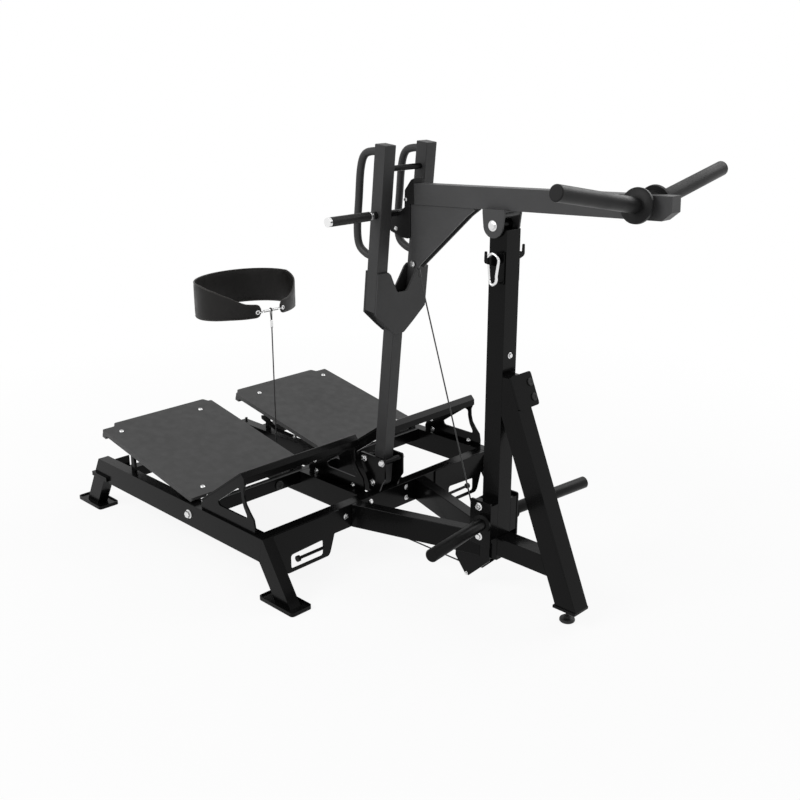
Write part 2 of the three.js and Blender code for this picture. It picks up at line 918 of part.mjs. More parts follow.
const stay = sheetXZ(
  [
    [stayOuter(STAY_LOW), STAY_LOW],
    [stayOuter(STAY_TOP), STAY_TOP],
    [HALF + SEAT, STAY_TOP],
    [HALF + SEAT, stayMeets],
    [stayInner(STAY_LOW), STAY_LOW],
  ],
  -HALF,
  HALF,
);
const stayFoot = box(
  stayInner(STAY_LOW) - STAY_FOOT_BACK,
  stayOuter(STAY_LOW) - SINK,
  -HALF - STAY_FOOT_SIDE,
  HALF + STAY_FOOT_SIDE,
  STAY_LOW - STAY_FOOT_T,
  STAY_LOW + SINK,
);
node("rear_stay", join(stay, stayFoot), PAINT);

// Stop plate, drawn flat and then laid on the stay, overhanging its far side
const stopFlat = sheetXY(
  rounded(
    [
      [0, -HALF],
      [0, STOP_SIDE],
      [(STOP_HIGH - STOP_LOW) * Math.hypot(1, STAY_SLOPE), STOP_SIDE],
      [(STOP_HIGH - STOP_LOW) * Math.hypot(1, STAY_SLOPE), -HALF],
    ],
    STOP_CORNER,
  ),
  -PLATE,
  0,
);
const stopHoles = STOP_HOLES_Z.map((z) => {
  const along = (z - STOP_LOW) * Math.hypot(1, STAY_SLOPE);
  return rod([along, STOP_HOLE_Y, -2 * PLATE], [along, STOP_HOLE_Y, PLATE], STOP_HOLE_R, 20);
});
const stopPlate = node("stop_plate", cut(stopFlat, ...stopHoles), PAINT);
stopPlate.position.set(stayOuter(STOP_LOW) + SEAT, 0, STOP_LOW);
stopPlate.rotation.y = -Math.PI / 2 - Math.atan(STAY_SLOPE);
node(
  "upright_bumper",
  join(
    rod([-HALF - SEAT, 0, BUMPER_Z], [-HALF - BUMPER_T, 0, BUMPER_Z], BUMPER_R, 28),
    rod([-HALF - BUMPER_NOSE_R, 0, BUMPER_Z], [-HALF - BUMPER_NOSE_T, 0, BUMPER_Z], BUMPER_NOSE_R, 28),
  ),
  RUBBER,
);

// Foot pulley in its housing under the upright
const housing = SIDES.map(([, side]) => {
  const [y0, y1] = away(side, HALF + SEAT, HALF + SEAT + PLATE);
  return sheetXZ(HOUSING_OUTLINE, y0, y1);
});
const across = HALF + SEAT + PLATE / 2;
const pins = [
  [...FOOT_PULLEY, PIN_R],
  [...KEEPER, KEEPER_R],
  [...SPACER, SPACER_R],
].map(([x, z, r]) => rod([x, -across, z], [x, across, z], r, 16));
node("pulley_housing", join(housing[0], ...pins, housing[1]), PAINT);

function pulley(name, [x, z]) {
  const groove = PULLEY_R - CABLE_R - SEAT;
  const profile = [
    [PIN_R + RUN, -PULLEY_W],
    [PULLEY_R + PULLEY_LIP, -PULLEY_W],
    [PULLEY_R + PULLEY_LIP, -PULLEY_SHOULDER],
    [groove, -PULLEY_GROOVE],
    [groove, PULLEY_GROOVE],
    [PULLEY_R + PULLEY_LIP, PULLEY_SHOULDER],
    [PULLEY_R + PULLEY_LIP, PULLEY_W],
    [PIN_R + RUN, PULLEY_W],
    [PIN_R + RUN, -PULLEY_W],
  ];
  return node(name, turnedY(profile, x, 0, z), PLASTIC);
}
pulley("foot_pulley", FOOT_PULLEY);
pulley("centre_pulley", CENTRE_PULLEY);

// Centre pulley bracket between the inner rails
const BRIDGE = INNER_IN - SEAT;
const [pulleyX, pulleyZ] = CENTRE_PULLEY;
const bridgeTop = BRIDGE_Z + BRIDGE_T;
const earOutline = [
  [pulleyX - BRIDGE_HALF, BRIDGE_Z + SINK],
  [pulleyX - PULLEY_EAR_R, pulleyZ],
  ...arc(pulleyX, pulleyZ, PULLEY_EAR_R, Math.PI, 2 * Math.PI, 12).slice(1, -1),
  [pulleyX + PULLEY_EAR_R, pulleyZ],
  [pulleyX + BRIDGE_HALF, BRIDGE_Z + SINK],
];
const pulleyEars = SIDES.map(([, side]) => {
  const [y0, y1] = away(side, PULLEY_EAR_IN, PULLEY_EAR_IN + THIN);
  return sheetXZ(earOutline, y0, y1);
});
node(
  "centre_pulley_bracket",
  join(
    box(pulleyX - BRIDGE_HALF, pulleyX + BRIDGE_HALF, -BRIDGE, BRIDGE, BRIDGE_Z, bridgeTop),
    ...pulleyEars,
    rod([pulleyX, -PULLEY_PIN_END, pulleyZ], [pulleyX, PULLEY_PIN_END, pulleyZ], PIN_R),
  ),
  PAINT,
);

// Storage horns low on the upright
for (const [word, side] of SIDES) {
  const [y0, y1] = away(side, HALF + SEAT, STORE_OUT - PLATE + SINK);
  const [y2, y3] = away(side, STORE_OUT - PLATE, STORE_OUT);
  const [bx0, bx1, bz0, bz1] = STORE_BOX;
  const channel = box(bx0, bx1, y0, y1, bz0, bz1);
  const [x0, x1, z0, z1] = STORE_FACE;
  const face = sheetXZ(
    rounded(
      [
        [x0, z0],
        [x1, z0],
        [x1, z1],
        [x0, z1],
      ],
      STORE_CORNER,
    ),
    y2,
    y3,
  );
  node(word + "_storage_bracket", join(channel, face), PAINT);
  const root = new THREE.Vector3(STORE_ROOT[0], side * (STORE_OUT + SEAT), STORE_ROOT[1]);
  const end = new THREE.Vector3(STORE_END[0], side * STORE_END[1], STORE_END[2]);
  const along = end.clone().sub(root).normalize();
  const from = root.clone().addScaledVector(along, -STORE_BURIED);
  const bar = turnedAlong(STORE_PROFILE, from.toArray(), end.toArray(), 36);
  const [c0, c1] = away(side, 0, STORE_OUT + SEAT);
  node(word + "_storage_horn", cut(bar, box(-BEYOND, BEYOND, c0, c1, 0, BEYOND)), SATIN);
}

// Hooks on both faces of the upright
for (const [word, side] of SIDES) {
  const [y0, y1] = away(side, HALF + SEAT, HALF + SEAT + THIN);
  const [x0, x1, z0, z1] = HOOK_PLATE;
  const back = sheetXZ(
    rounded(
      [
        [x0, z0],
        [x1, z0],
        [x1, z1],
        [x0, z1],
      ],
      HOOK_CORNER,
    ),
    y0,
    y1,
  );
  const arm = sheetYZ(
    rounded(HOOK_OUTLINE, HOOK_ROUND, 3).map(([y, z]) => [side * y, z]),
    HOOK_X - HOOK_T / 2,
    HOOK_X + HOOK_T / 2,
  );
  node(word + "_hook", join(back, arm), PAINT);
}

// Carabiner hanging on the near hook; its gate turns on a rounded end
node(
  "carabiner",
  wire(
    CLIP_PATH.map(([x, z]) => [x, CLIP_Y, z]),
    CLIP_R,
    64,
    12,
  ),
  STEEL,
);
const gateLength = Math.hypot(GATE_TOP[0] - GATE_PIVOT[0], GATE_TOP[1] - GATE_PIVOT[1]);
node(
  "carabiner_gate",
  turnedAlong(
    [...arc(0, 0, GATE_R, -Math.PI / 2, 0, 5), [GATE_R, gateLength], [0, gateLength]].map(([r, h], i) =>
      i ? [r, h] : [0, h],
    ),
    [GATE_PIVOT[0], CLIP_Y, GATE_PIVOT[1]],
    [GATE_TOP[0], CLIP_Y, GATE_TOP[1]],
    16,
  ),
  STEEL,
);

// Levelling foot on a threaded stem
node("levelling_foot", turnedZ(LEVELLER, FOOT_STEM_X, 0, 0, 32), RUBBER);

// Lock mast bracket on the front cross member
const cheeks = SIDES.map(([, side]) => {
  const [y0, y1] = away(side, CHEEK_IN, CHEEK_IN + PLATE);
  return sheetXZ(rounded(CHEEK_OUTLINE, CHEEK_CORNER, 3), y0, y1);
});
const cheekSpan = CHEEK_IN + PLATE / 2;
const mastPins = [
  [...MAST_STOPS[0], MAST_STOP_R],
  [...MAST_STOPS[1], MAST_STOP_R],
  [...MAST_PIVOT, PIN_R],
].map(([x, z, r]) => rod([x, -cheekSpan, z], [x, cheekSpan, z], r));
const soleZ = RAIL_TOP + SEAT;
const sole = box(MAST_SOLE[0] + PLATE, MAST_SOLE[1] - PLATE, -cheekSpan, cheekSpan, soleZ, soleZ + THIN);
node("mast_bracket", join(cheeks[0], ...mastPins, sole, cheeks[1]), PAINT);

// The mast is drawn upright about its pivot, in a group that leans it over
const mast = new THREE.Group();
mast.position.set(MAST_PIVOT[0], 0, MAST_PIVOT[1]);
mast.rotation.y = Math.atan(MAST_LEAN);
machine.add(mast);
const up = (z) => (z - MAST_PIVOT[1]) * MAST_STRETCH;
const raised = (list) => list.map(([u, z]) => [u, up(z)]);
const tubeFoot = [
  [TUBE, 0],
  [TUBE, up(TUBE_TOP)],
  [-TUBE, up(TUBE_TOP)],
  ...arc(0, 0, TUBE, Math.PI, 2 * Math.PI, 12),
];
const mastTube = sheetXZ(tubeFoot.slice(0, -1), -TUBE, TUBE);
node("mast_tube", cut(mastTube, rod([0, -POST, 0], [0, POST, 0], PIN_R + RUN)), SATIN, mast);
const mirrored = (list) => list.map(([y, z]) => [-y, z]).reverse();
const forkOutline = raised([...FORK_HALF, ...mirrored(FORK_HALF), ...mirrored(FORK_LOW), ...FORK_LOW]);
const webs = SIDES.map(([, side]) =>
  sheetYZ(
    raised(FORK_WEB).map(([y, z]) => [side * y, z]),
    -TUBE - SINK,
    TUBE + SINK,
  ),
);
const forkTop = up(TUBE_TOP) + SEAT;
const forkBlock = box(-TUBE - SINK, TUBE + SINK, -FORK_TAB, FORK_TAB, forkTop, forkTop + FORK_TAB);
const forks = [
  sheetYZ(forkOutline, TUBE + SEAT, TUBE + SEAT + FORK_T),
  sheetYZ(forkOutline, -TUBE - SEAT - FORK_T, -TUBE - SEAT),
];
node("mast_fork", join(forks[0], ...webs, forkBlock, forks[1]), SATIN, mast);

const gripS = up(GRIP_Z);
for (const [word, side] of SIDES) {
  const [y0, y1] = away(side, MAST_Y - TUBE, MAST_Y + TUBE);
  const post = box(-TUBE, TUBE, y0, y1, up(MAST_FOOT), up(MAST_TOP));
  const bore = rod([0, -BEYOND, gripS], [0, 0, gripS], GRIP_R + SEAT);
  node(word + "_mast_upright", cut(post, bore), SATIN, mast);

  // D handle on the back of each upright
  const y = side * MAST_Y;
  const back = -TUBE - SEAT;
  const bow = wire(
    raised(GRAB_PATH).map(([x, z]) => [back + x, y, z]),
    GRAB_R,
    48,
    14,
  );
  node(word + "_d_handle", cut(bow, box(back, BEYOND, -BEYOND, BEYOND, 0, BEYOND)), SATIN, mast);
}
const INSIDE = MAST_Y - TUBE - SEAT;
const barS = up(BAR_Z);
node("mast_crossbar", rod([0, -INSIDE, barS], [0, INSIDE, barS], BAR_R, 20), SATIN, mast);
node(
  "grip_bar",
  join(
    rod([0, -GRIP_END, gripS], [0, INSIDE, gripS], GRIP_R),
    rod([0, -GRIP_END, gripS], [0, -GRIP_CAP, gripS], SLEEVE_R, 28),
    rod([0, SEAT - SLEEVE_END, gripS], [0, -RING_END, gripS], SLEEVE_R, 28),
  ),
  SATIN,
  mast,
);
const GRIP_SLEEVE = [
  [GRIP_R + SEAT, SEAT - GRIP_CAP],
  [SLEEVE_R, SEAT - GRIP_CAP],
  [SLEEVE_R, -SLEEVE_END],
  [GRIP_R + SEAT, -SLEEVE_END],
  [GRIP_R + SEAT, SEAT - GRIP_CAP],
];
node("grip_sleeve", turnedY(GRIP_SLEEVE, 0, 0, gripS, 28), RUBBER, mast);

// Lever: the beam and its clevis are drawn level about the pivot, in a group that tilts them
const lever = new THREE.Group();
lever.position.set(PIVOT[0], 0, PIVOT[1]);
lever.rotation.y = -Math.atan(BEAM_SLOPE);
machine.add(lever);
const tilt = Math.hypot(1, BEAM_SLOPE);
const RISE = (beamUnder(PIVOT[0]) - PIVOT[1]) / tilt;
const reach = (x) => (x - PIVOT[0]) * tilt + RISE * BEAM_SLOPE;
const beam = sheetXZ(
  [
    [reach(BEAM_BACK), RISE],
    [reach(BEAM_END) - BEAM_NOSE[0], RISE],
    [reach(BEAM_END), RISE + BEAM_NOSE[1]],
    [reach(BEAM_END), RISE + BEAM_H],
    [reach(BEAM_BACK), RISE + BEAM_H],
  ],
  -BEAM_HALF,
  BEAM_HALF,
);
const earShape = [
  [EAR_BACK, RISE + EAR_WELD],
  [EAR_BACK, RISE - EAR_SHOULDER],
  [-EAR_R, 0],
  ...arc(0, 0, EAR_R, Math.PI, 2 * Math.PI, 16).slice(1, -1),
  [EAR_R, 0],
  [EAR_FRONT, RISE - EAR_SHOULDER],
  [EAR_FRONT, RISE + EAR_WELD],
];
const pinHole = rod([0, -POST, 0], [0, POST, 0], PIN_R + SEAT);
const ears = SIDES.map(([, side]) => {
  const [y0, y1] = away(side, EAR_IN, EAR_IN + PLATE);
  return sheetXZ(earShape, y0, y1);
});
const earJoin = EAR_IN + SINK;
const saddle = box(EAR_BACK, EAR_FRONT, -earJoin, earJoin, RISE - EAR_WELD, RISE + EAR_WELD - SEAT);
const braceBarZ = RISE - EAR_SHOULDER;
const braceBar = rod([BRACE_BAR_X, -earJoin, braceBarZ], [BRACE_BAR_X, earJoin, braceBarZ], BRACE_BAR_R);
node("lever_beam", cut(join(beam, saddle, braceBar, ...ears), pinHole), SATIN, lever);
const headFrom = EAR_IN + PLATE + SEAT;
const headTo = EAR_IN + PLATE + BOLT_HEAD_T;
node(
  "lever_pivot_bolt",
  join(
    rod([0, -headTo, 0], [0, headTo, 0], PIN_R),
    rod([0, -headFrom, 0], [0, -headTo, 0], BOLT_HEAD_R, 6),
    rod([0, headFrom, 0], [0, headTo, 0], BOLT_HEAD_R, 6),
  ),
  STEEL,
  lever,
);

// Gusset under the beam: two plates joined along the top and by the cable pin
const gussetTop = (x) => beamUnder(x) - SEAT;
const [gx0, gx1] = GUSSET_X;
const gussetShape = [[gx0, gussetTop(gx0)], ...GUSSET_LOW, [gx1, gussetTop(gx1)]];
const gussetBar = [
  [gx0, gussetTop(gx0)],
  [gx0, gussetTop(gx0) - THIN],
  [gx1, gussetTop(gx1) - THIN],
  [gx1, gussetTop(gx1)],
];
node(
  "gusset",
  join(
    sheetXZ(gussetShape, -GUSSET_Y, THIN - GUSSET_Y),
    sheetXZ(gussetBar, -GUSSET_Y, GUSSET_Y),
    rod([TIP[0], -GUSSET_Y - TIP_OVER, TIP[1]], [TIP[0], GUSSET_Y + TIP_OVER, TIP[1]], TIP_R, 20),
    sheetXZ(gussetShape, GUSSET_Y - THIN, GUSSET_Y),
  ),
  SATIN,
);

// Lock hook on the end of the beam; the grip bar of the mast lies in its seat
const barX = MAST_PIVOT[0] + (GRIP_Z - MAST_PIVOT[1]) * MAST_LEAN;
const SEAT_R = GRIP_R + SEAT;
const beamEndX = (z) => BEAM_BACK - SEAT - BEAM_SLOPE * (z - gussetTop(BEAM_BACK));
const hookShape = [
  [beamEndX(HOOK_TOP[0][1]), HOOK_TOP[0][1]],
  ...HOOK_TOP,
  ...arc(barX, GRIP_Z, SEAT_R, 0, -Math.PI / 2, 6),
  [barX - LEDGE_RUN, GRIP_Z - SEAT_R],
  ...HOOK_LOW,
  [gx0 - SEAT, gussetTop(gx0) + 2 * SEAT],
  [BEAM_BACK - SEAT, gussetTop(BEAM_BACK) + 2 * SEAT],
];
node("lock_hook", sheetXZ(hookShape, -BEAM_HALF, BEAM_HALF), SATIN);

// Weight horns at the far end of the beam
for (const [word, side] of SIDES) {
  const at = (d) => [
    HORN_X - (d - HORN_COLLAR) * HORN_BACK,
    side * d,
    HORN_Z + (d - HORN_COLLAR) * HORN_RISE,
  ];
  const body = turnedAlong(HORN_PROFILE, at(HORN_FROM), at(HORN_END), 44);
  const [c0, c1] = away(side, -BEYOND, BEAM_HALF + SEAT);
  node(word + "_weight_horn", cut(body, box(-BEYOND, BEYOND, c0, c1, 0, BEYOND)), SATIN);
}

// Decks and the props under them
for (const [word, side] of SIDES) {
  // The deck is drawn level about its pivot, in a tilted group
  const deckGroup = new THREE.Group();
  deckGroup.position.set(DECK_PIVOT[0], 0, DECK_PIVOT[1]);
  deckGroup.rotation.y = DECK_TILT;
  machine.add(deckGroup);
  const low = DECK_H - DECK_T;
  const plan = [
    [DECK_FRONT, DECK_IN],
    [DECK_FRONT, DECK_OUT],
    [DECK_BACK, DECK_OUT],
    [DECK_BACK, DECK_OUT - TAB_OUT_STEP],
    [DECK_BACK - TAB_L, DECK_OUT - TAB_OUT],
    [DECK_BACK - TAB_L, DECK_IN + TAB_IN],
    [DECK_BACK, DECK_IN + TAB_STEP],
    [DECK_BACK, DECK_IN],
  ].map(([x, y]) => [x, side * y]);
  const bevel = sheetXZ(
    [
      [DECK_FRONT - DECK_BEVEL[0], low - SINK],
      [DECK_FRONT + SINK, low - SINK],
      [DECK_FRONT + SINK, low + DECK_BEVEL[1]],
    ],
    -BEYOND,
    BEYOND,
  );
  const board = cut(sheetXY(rounded(plan, DECK_CORNER, 3), low, DECK_H), bevel);
  const [r0, r1] = away(side, DECK_IN + SINK, DECK_OUT - SINK);
  const rib = box(DECK_BACK + SINK, DECK_BACK + RIB_L, r0, r1, low - RIB_H, low + SINK);
  const arms = [RAIL_IN - ARM_INSET, INNER_OUT + ARM_GAP].map((d) => {
    const [y0, y1] = away(side, d, d + PLATE);
    const shape = [
      [DECK_FRONT - DECK_BEVEL[0], low + SINK],
      [-ARM_L, low + SINK],
      [-ARM_L, low - ARM_DROP],
      [-EYE_R - THIN / 2, -THIN],
      ...arc(0, 0, EYE_R, 1.1 * Math.PI, 2 * Math.PI, 10),
      [EYE_R - PLATE, PLATE],
    ];
    return sheetXZ(shape, y0, y1);
  });
  const lugZ = low - LUG_DROP;
  const lugs = [LUG_IN, LUG_OUT].map((d) => {
    const [y0, y1] = away(side, d, d + PLATE);
    return sheetXZ(
      [
        [LUG_X - LUG_FOOT, low + SINK],
        [LUG_X - LUG_R, lugZ],
        ...arc(LUG_X, lugZ, LUG_R, Math.PI, 2 * Math.PI, 10).slice(1, -1),
        [LUG_X + LUG_R, lugZ],
        [LUG_X + LUG_FOOT, low + SINK],
      ],
      y0,
      y1,
    );
  });
  const bores = [
    rod([0, 0, 0], [0, side * BEYOND, 0], PIN_R + RUN),
    rod([LUG_X, 0, lugZ], [LUG_X, side * BEYOND, lugZ], PROP_R + RUN),
  ];
  node(word + "_deck", cut(join(board, rib, ...arms, ...lugs), ...bores), DECKING, deckGroup);

  // The prop is drawn where it stands: its legs are on the rails, their feet rounded about its hinge
  const c = Math.cos(DECK_TILT);
  const s = Math.sin(DECK_TILT);
  const hx = DECK_PIVOT[0] + LUG_X * c + lugZ * s;
  const hz = DECK_PIVOT[1] - LUG_X * s + lugZ * c;
  const legLength = hz - RAIL_TOP - SEAT;
  const spread = Math.asin(PROP_FOOT / legLength);
  const legShape = [
    [hx + PROP_HALF, hz],
    ...arc(hx, hz, PROP_HALF, 0, Math.PI, 8).slice(1, -1),
    [hx - PROP_HALF, hz],
    ...arc(hx, hz, legLength, -Math.PI / 2 - spread, -Math.PI / 2 + spread, 6),
  ];
  const legs = [PROP_IN, PROP_OUT].map((d) => {
    const [y0, y1] = away(side, d, d + PROP_T);
    return sheetXZ(legShape, y0, y1);
  });
  const crossFrom = side * (LINK_IN + SINK);
  const cross = rod([hx, crossFrom, hz], [hx, side * (PROP_OUT + PROP_T - SINK), hz], PROP_R, 20);
  const [l0, l1] = away(side, LINK_IN, LINK_IN + LINK_T);
  const link = sheetXZ(rounded(LINK_OUTLINE, LINK_CORNER, 3), l0, l1);
  node(word + "_prop", join(legs[0], cross, legs[1], link), PAINT);
}

// Toe rests in front of the decks
for (const [word, side] of SIDES) {
  const [y0, y1] = away(side, TOE_IN, TOE_OUT);
  const top = sheetXZ(TOE_PLATE, y0, y1);
  const toeCheeks = TOE_CHEEKS.map((d) => {
    const [c0, c1] = away(side, d, d + PLATE);
    const [h0, h1] = away(side, d - PLATE, d + 2 * PLATE);
    const window = sheetXZ(rounded(TOE_WINDOW, TOE_CORNER, 4), h0, h1);
    return cut(sheetXZ(TOE_CHEEK, c0, c1), window);
  });
  node(word + "_toe_rest", join(top, ...toeCheeks), PAINT);
}

// Lever cable from the gusset pin to the foot pulley
const down = new THREE.Vector2(FOOT_PULLEY[0] - TIP[0], FOOT_PULLEY[1] - TIP[1]);
const turnTo = Math.atan2(down.y, down.x) + Math.asin(PULLEY_R / down.length());
const leave = [
  FOOT_PULLEY[0] - PULLEY_R * Math.sin(turnTo),
  FOOT_PULLEY[1] + PULLEY_R * Math.cos(turnTo),
];
const cableWay = new THREE.Vector2(Math.cos(turnTo), Math.sin(turnTo));
const onWay = (t) => [TIP[0] + cableWay.x * t, 0, TIP[1] + cableWay.y * t];
const eyeRing = turnedY(
  [
    [CABLE_EYE_R - CABLE_EYE_T, -CABLE_EYE_T],
    [CABLE_EYE_R + CABLE_EYE_T, -CABLE_EYE_T],
    [CABLE_EYE_R + CABLE_EYE_T, CABLE_EYE_T],
    [CABLE_EYE_R - CABLE_EYE_T, CABLE_EYE_T],
    [CABLE_EYE_R - CABLE_EYE_T, -CABLE_EYE_T],
  ],
  TIP[0],
  0,
  TIP[1],
  24,
);
const swageEnd = CABLE_EYE_R + SWAGE_L;
node(
  "lever_cable",
  join(
    eyeRing,
    rod(onWay(CABLE_EYE_R), onWay(swageEnd), SWAGE_R, 16),
    rod(onWay(swageEnd - CABLE_EYE_T), [leave[0], 0, leave[1]], CABLE_R, 12),
  ),
  STEEL,
);

// Low run of the cable, round the underside of both pulleys
const WRAP_STEPS = 14;
const WRAP_CLEAR = 0.012; // angle left between this run and the end of the lever cable
const wrapFrom = Math.atan2(leave[1] - FOOT_PULLEY[1], leave[0] - FOOT_PULLEY[0]) - WRAP_CLEAR;
const lowPath = [
  ...arc(FOOT_PULLEY[0], FOOT_PULLEY[1], PULLEY_R, wrapFrom, -Math.PI / 2 - WRAP_CLEAR, WRAP_STEPS),
  ...arc(pulleyX, pulleyZ, PULLEY_R, -Math.PI / 2, -Math.PI, WRAP_STEPS),
];

// A round cable along a path of [x, z] points in the symmetry plane.
function planeTube(list, radius, sides) {
  const rings = list.map((q, i) => {
    const a = list[Math.max(i - 1, 0)];
    const b = list[Math.min(i + 1, list.length - 1)];
    const along = new THREE.Vector2(b[0] - a[0], b[1] - a[1]).normalize();
    return Array.from({ length: sides }, (_, k) => {
      const turn = (2 * Math.PI * k) / sides;
      const u = radius * Math.cos(turn);
      return [q[0] - along.y * u, radius * Math.sin(turn), q[1] + along.x * u];
    });
  });
  const points = rings.flat();
  const first = points.push([list[0][0], 0, list[0][1]]) - 1;
  const last = points.push([list.at(-1)[0], 0, list.at(-1)[1]]) - 1;
  const faces = [];
  const end = (rings.length - 1) * sides;
  for (let k = 0; k < sides; k++) {
    const n = (k + 1) % sides;
    for (let i = 0; i < end; i += sides) {
      faces.push(i + k, i + sides + n, i + n, i + k, i + sides + k, i + sides + n);
    }
    faces.push(first, k, n, last, end + n, end + k);
  }
  const g = new THREE.BufferGeometry();
  g.setAttribute("position", new THREE.Float32BufferAttribute(points.flat(), 3));
  g.setIndex(faces);
  return solid(g);
}
node("low_cable", planeTube(lowPath, CABLE_R, 12), STEEL);

// Cable up to the belt, the link on top of it and the belt
node(
  "belt_cable",
  join(
    rod([BELT_X, 0, pulleyZ + SEAT], [BELT_X, 0, FERRULE_Z + SINK], CABLE_R, 12),
    rod([BELT_X, 0, FERRULE_Z], [BELT_X, 0, FERRULE_TOP], FERRULE_R, 16),
  ),
  STEEL,
);
const linkX = BELT_X - LINK_BACK;
node(
  "belt_link",
  join(
    rod([linkX, -LINK_HALF, LINK_Z], [linkX, LINK_HALF, LINK_Z], LINK_R, 16),
    rod([BELT_X, 0, LINK_Z], [BELT_X, 0, FERRULE_TOP + SEAT], LINK_R, 16),
  ),
  STEEL,
);
const BELT_STEPS = 64;
const loop = (out) =>
  Array.from({ length: BELT_STEPS + 1 }, (_, i) => {
    const a = BELT_OPEN + ((2 * Math.PI - 2 * BELT_OPEN) * i) / BELT_STEPS;
    return [BELT_CENTRE + (BELT_HALF[0] + out) * Math.cos(a), (BELT_HALF[1] + out) * Math.sin(a)];
  });
const strap = sheetXY([...loop(BELT_T / 2), ...loop(-BELT_T / 2).reverse()], BELT_Z[0], BELT_Z[1]);
node("belt", strap.intersect(sheetXZ(BELT_SIDE, -BEYOND, BEYOND)), LEATHER);

// Origin at the middle of the length, on the floor
machine.updateMatrixWorld(true);
const whole = new THREE.Box3().setFromObject(machine, true);
machine.position.x = -(whole.min.x + whole.max.x) / 2;
machine.updateMatrixWorld(true);

export default machine;
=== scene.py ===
"""Belt squat machine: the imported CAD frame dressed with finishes, bolts, caps, cables and a leather belt."""
import json
import math

import bmesh
import bpy
from mathutils import Matrix, Vector


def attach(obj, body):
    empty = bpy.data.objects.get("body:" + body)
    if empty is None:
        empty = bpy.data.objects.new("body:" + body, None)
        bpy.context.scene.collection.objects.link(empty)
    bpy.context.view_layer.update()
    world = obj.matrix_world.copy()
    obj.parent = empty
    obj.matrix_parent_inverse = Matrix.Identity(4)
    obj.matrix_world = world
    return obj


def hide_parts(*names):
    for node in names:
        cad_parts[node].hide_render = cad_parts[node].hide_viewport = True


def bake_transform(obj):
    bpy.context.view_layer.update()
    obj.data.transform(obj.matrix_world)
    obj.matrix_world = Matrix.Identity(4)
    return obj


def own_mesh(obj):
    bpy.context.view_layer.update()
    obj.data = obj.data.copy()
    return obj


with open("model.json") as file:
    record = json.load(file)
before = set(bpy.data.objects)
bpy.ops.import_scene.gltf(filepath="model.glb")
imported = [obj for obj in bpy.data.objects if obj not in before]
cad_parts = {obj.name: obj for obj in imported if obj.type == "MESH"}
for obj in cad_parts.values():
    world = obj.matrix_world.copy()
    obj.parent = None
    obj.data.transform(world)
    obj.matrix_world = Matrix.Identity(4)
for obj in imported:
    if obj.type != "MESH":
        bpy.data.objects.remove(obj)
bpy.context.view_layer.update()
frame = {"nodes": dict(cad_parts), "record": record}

# Places are written from the upright's axis, as the CAD source is, and moved by this shift
SHIFT = 0.6478282401667507
MM = 0.001
SIDES = (("near", -1), ("far", 1))


def at(x, y, z):
    """A point given in millimetres from the upright's axis, in the frame's metres."""
    return Vector((x * MM + SHIFT, y * MM, z * MM))


# Camera
LENS = 46.26
SENSOR = 36.0
AZIMUTH = math.radians(44.41)
PITCH = math.radians(18.43)
CAMERA_AT = at(2243.4, -2814.1, 1969.6)


def make_camera():
    data = bpy.data.cameras.new("camera")
    data.lens = LENS
    data.sensor_width = SENSOR
    data.clip_end = 60
    camera = bpy.data.objects.new("camera", data)
    bpy.context.scene.collection.objects.link(camera)
    back = Vector(
        (
            math.sin(AZIMUTH) * math.cos(PITCH),
            -math.cos(AZIMUTH) * math.cos(PITCH),
            math.sin(PITCH),
        )
    )
    right = Vector((math.cos(AZIMUTH), math.sin(AZIMUTH), 0))
    up = back.cross(right)
    turn = Matrix((right, up, back)).transposed().to_4x4()
    camera.matrix_world = Matrix.Translation(CAMERA_AT) @ turn
    bpy.context.scene.camera = camera


make_camera()


# Node helpers
class Nodes:
    """A short way to build a material's node tree."""

    def __init__(self, name):
        self.material = bpy.data.materials.new(name)
        self.material.use_nodes = True
        self.tree = self.material.node_tree
        self.shader = self.tree.nodes["Principled BSDF"]

    def add(self, kind, **values):
        node = self.tree.nodes.new(kind)
        for key, value in values.items():
            if hasattr(node, key):
                setattr(node, key, value)
            else:
                node.inputs[key.replace("_", " ")].default_value = value
        return node

    def link(self, source, target):
        self.tree.links.new(source, target)

    def noise(self, scale, detail=3.0, rough=0.5, where=None):
        node = self.add("ShaderNodeTexNoise", Scale=scale, Detail=detail, Roughness=rough)
        self.link(where or self.place(), node.inputs["Vector"])
        return node.outputs["Fac"]

    def place(self):
        return self.add("ShaderNodeTexCoord").outputs["Object"]

    def spread(self, value, low, high, new_low, new_high):
        node = self.add("ShaderNodeMapRange")
        node.inputs["From Min"].default_value = low
        node.inputs["From Max"].default_value = high
        node.inputs["To Min"].default_value = new_low
        node.inputs["To Max"].default_value = new_high
        self.link(value, node.inputs["Value"])
        return node.outputs["Result"]

    def mix(self, factor, first, second):
        node = self.add("ShaderNodeMix", data_type="RGBA")
        self.link(factor, node.inputs[0])
        node.inputs[6].default_value = (*first, 1)
        node.inputs[7].default_value = (*second, 1)
        return node.outputs[2]

    def bump(self, height, strength, distance):
        node = self.add("ShaderNodeBump", Strength=strength, Distance=distance)
        self.link(height, node.inputs["Height"])
        self.link(node.outputs["Normal"], self.shader.inputs["Normal"])


def either(tree, *values):
    """A value that is 1 where any of the values is 1, and 0 elsewhere."""
    total = values[0]
    for value in values[1:]:
        node = tree.nodes.new("ShaderNodeMath")
        node.operation = "MAXIMUM"
        tree.links.new(total, node.inputs[0])
        tree.links.new(value, node.inputs[1])
        total = node.outputs[0]
    return total


def grey(value, tint=(1.0, 1.0, 1.0)):
    return tuple(value * t for t in tint)


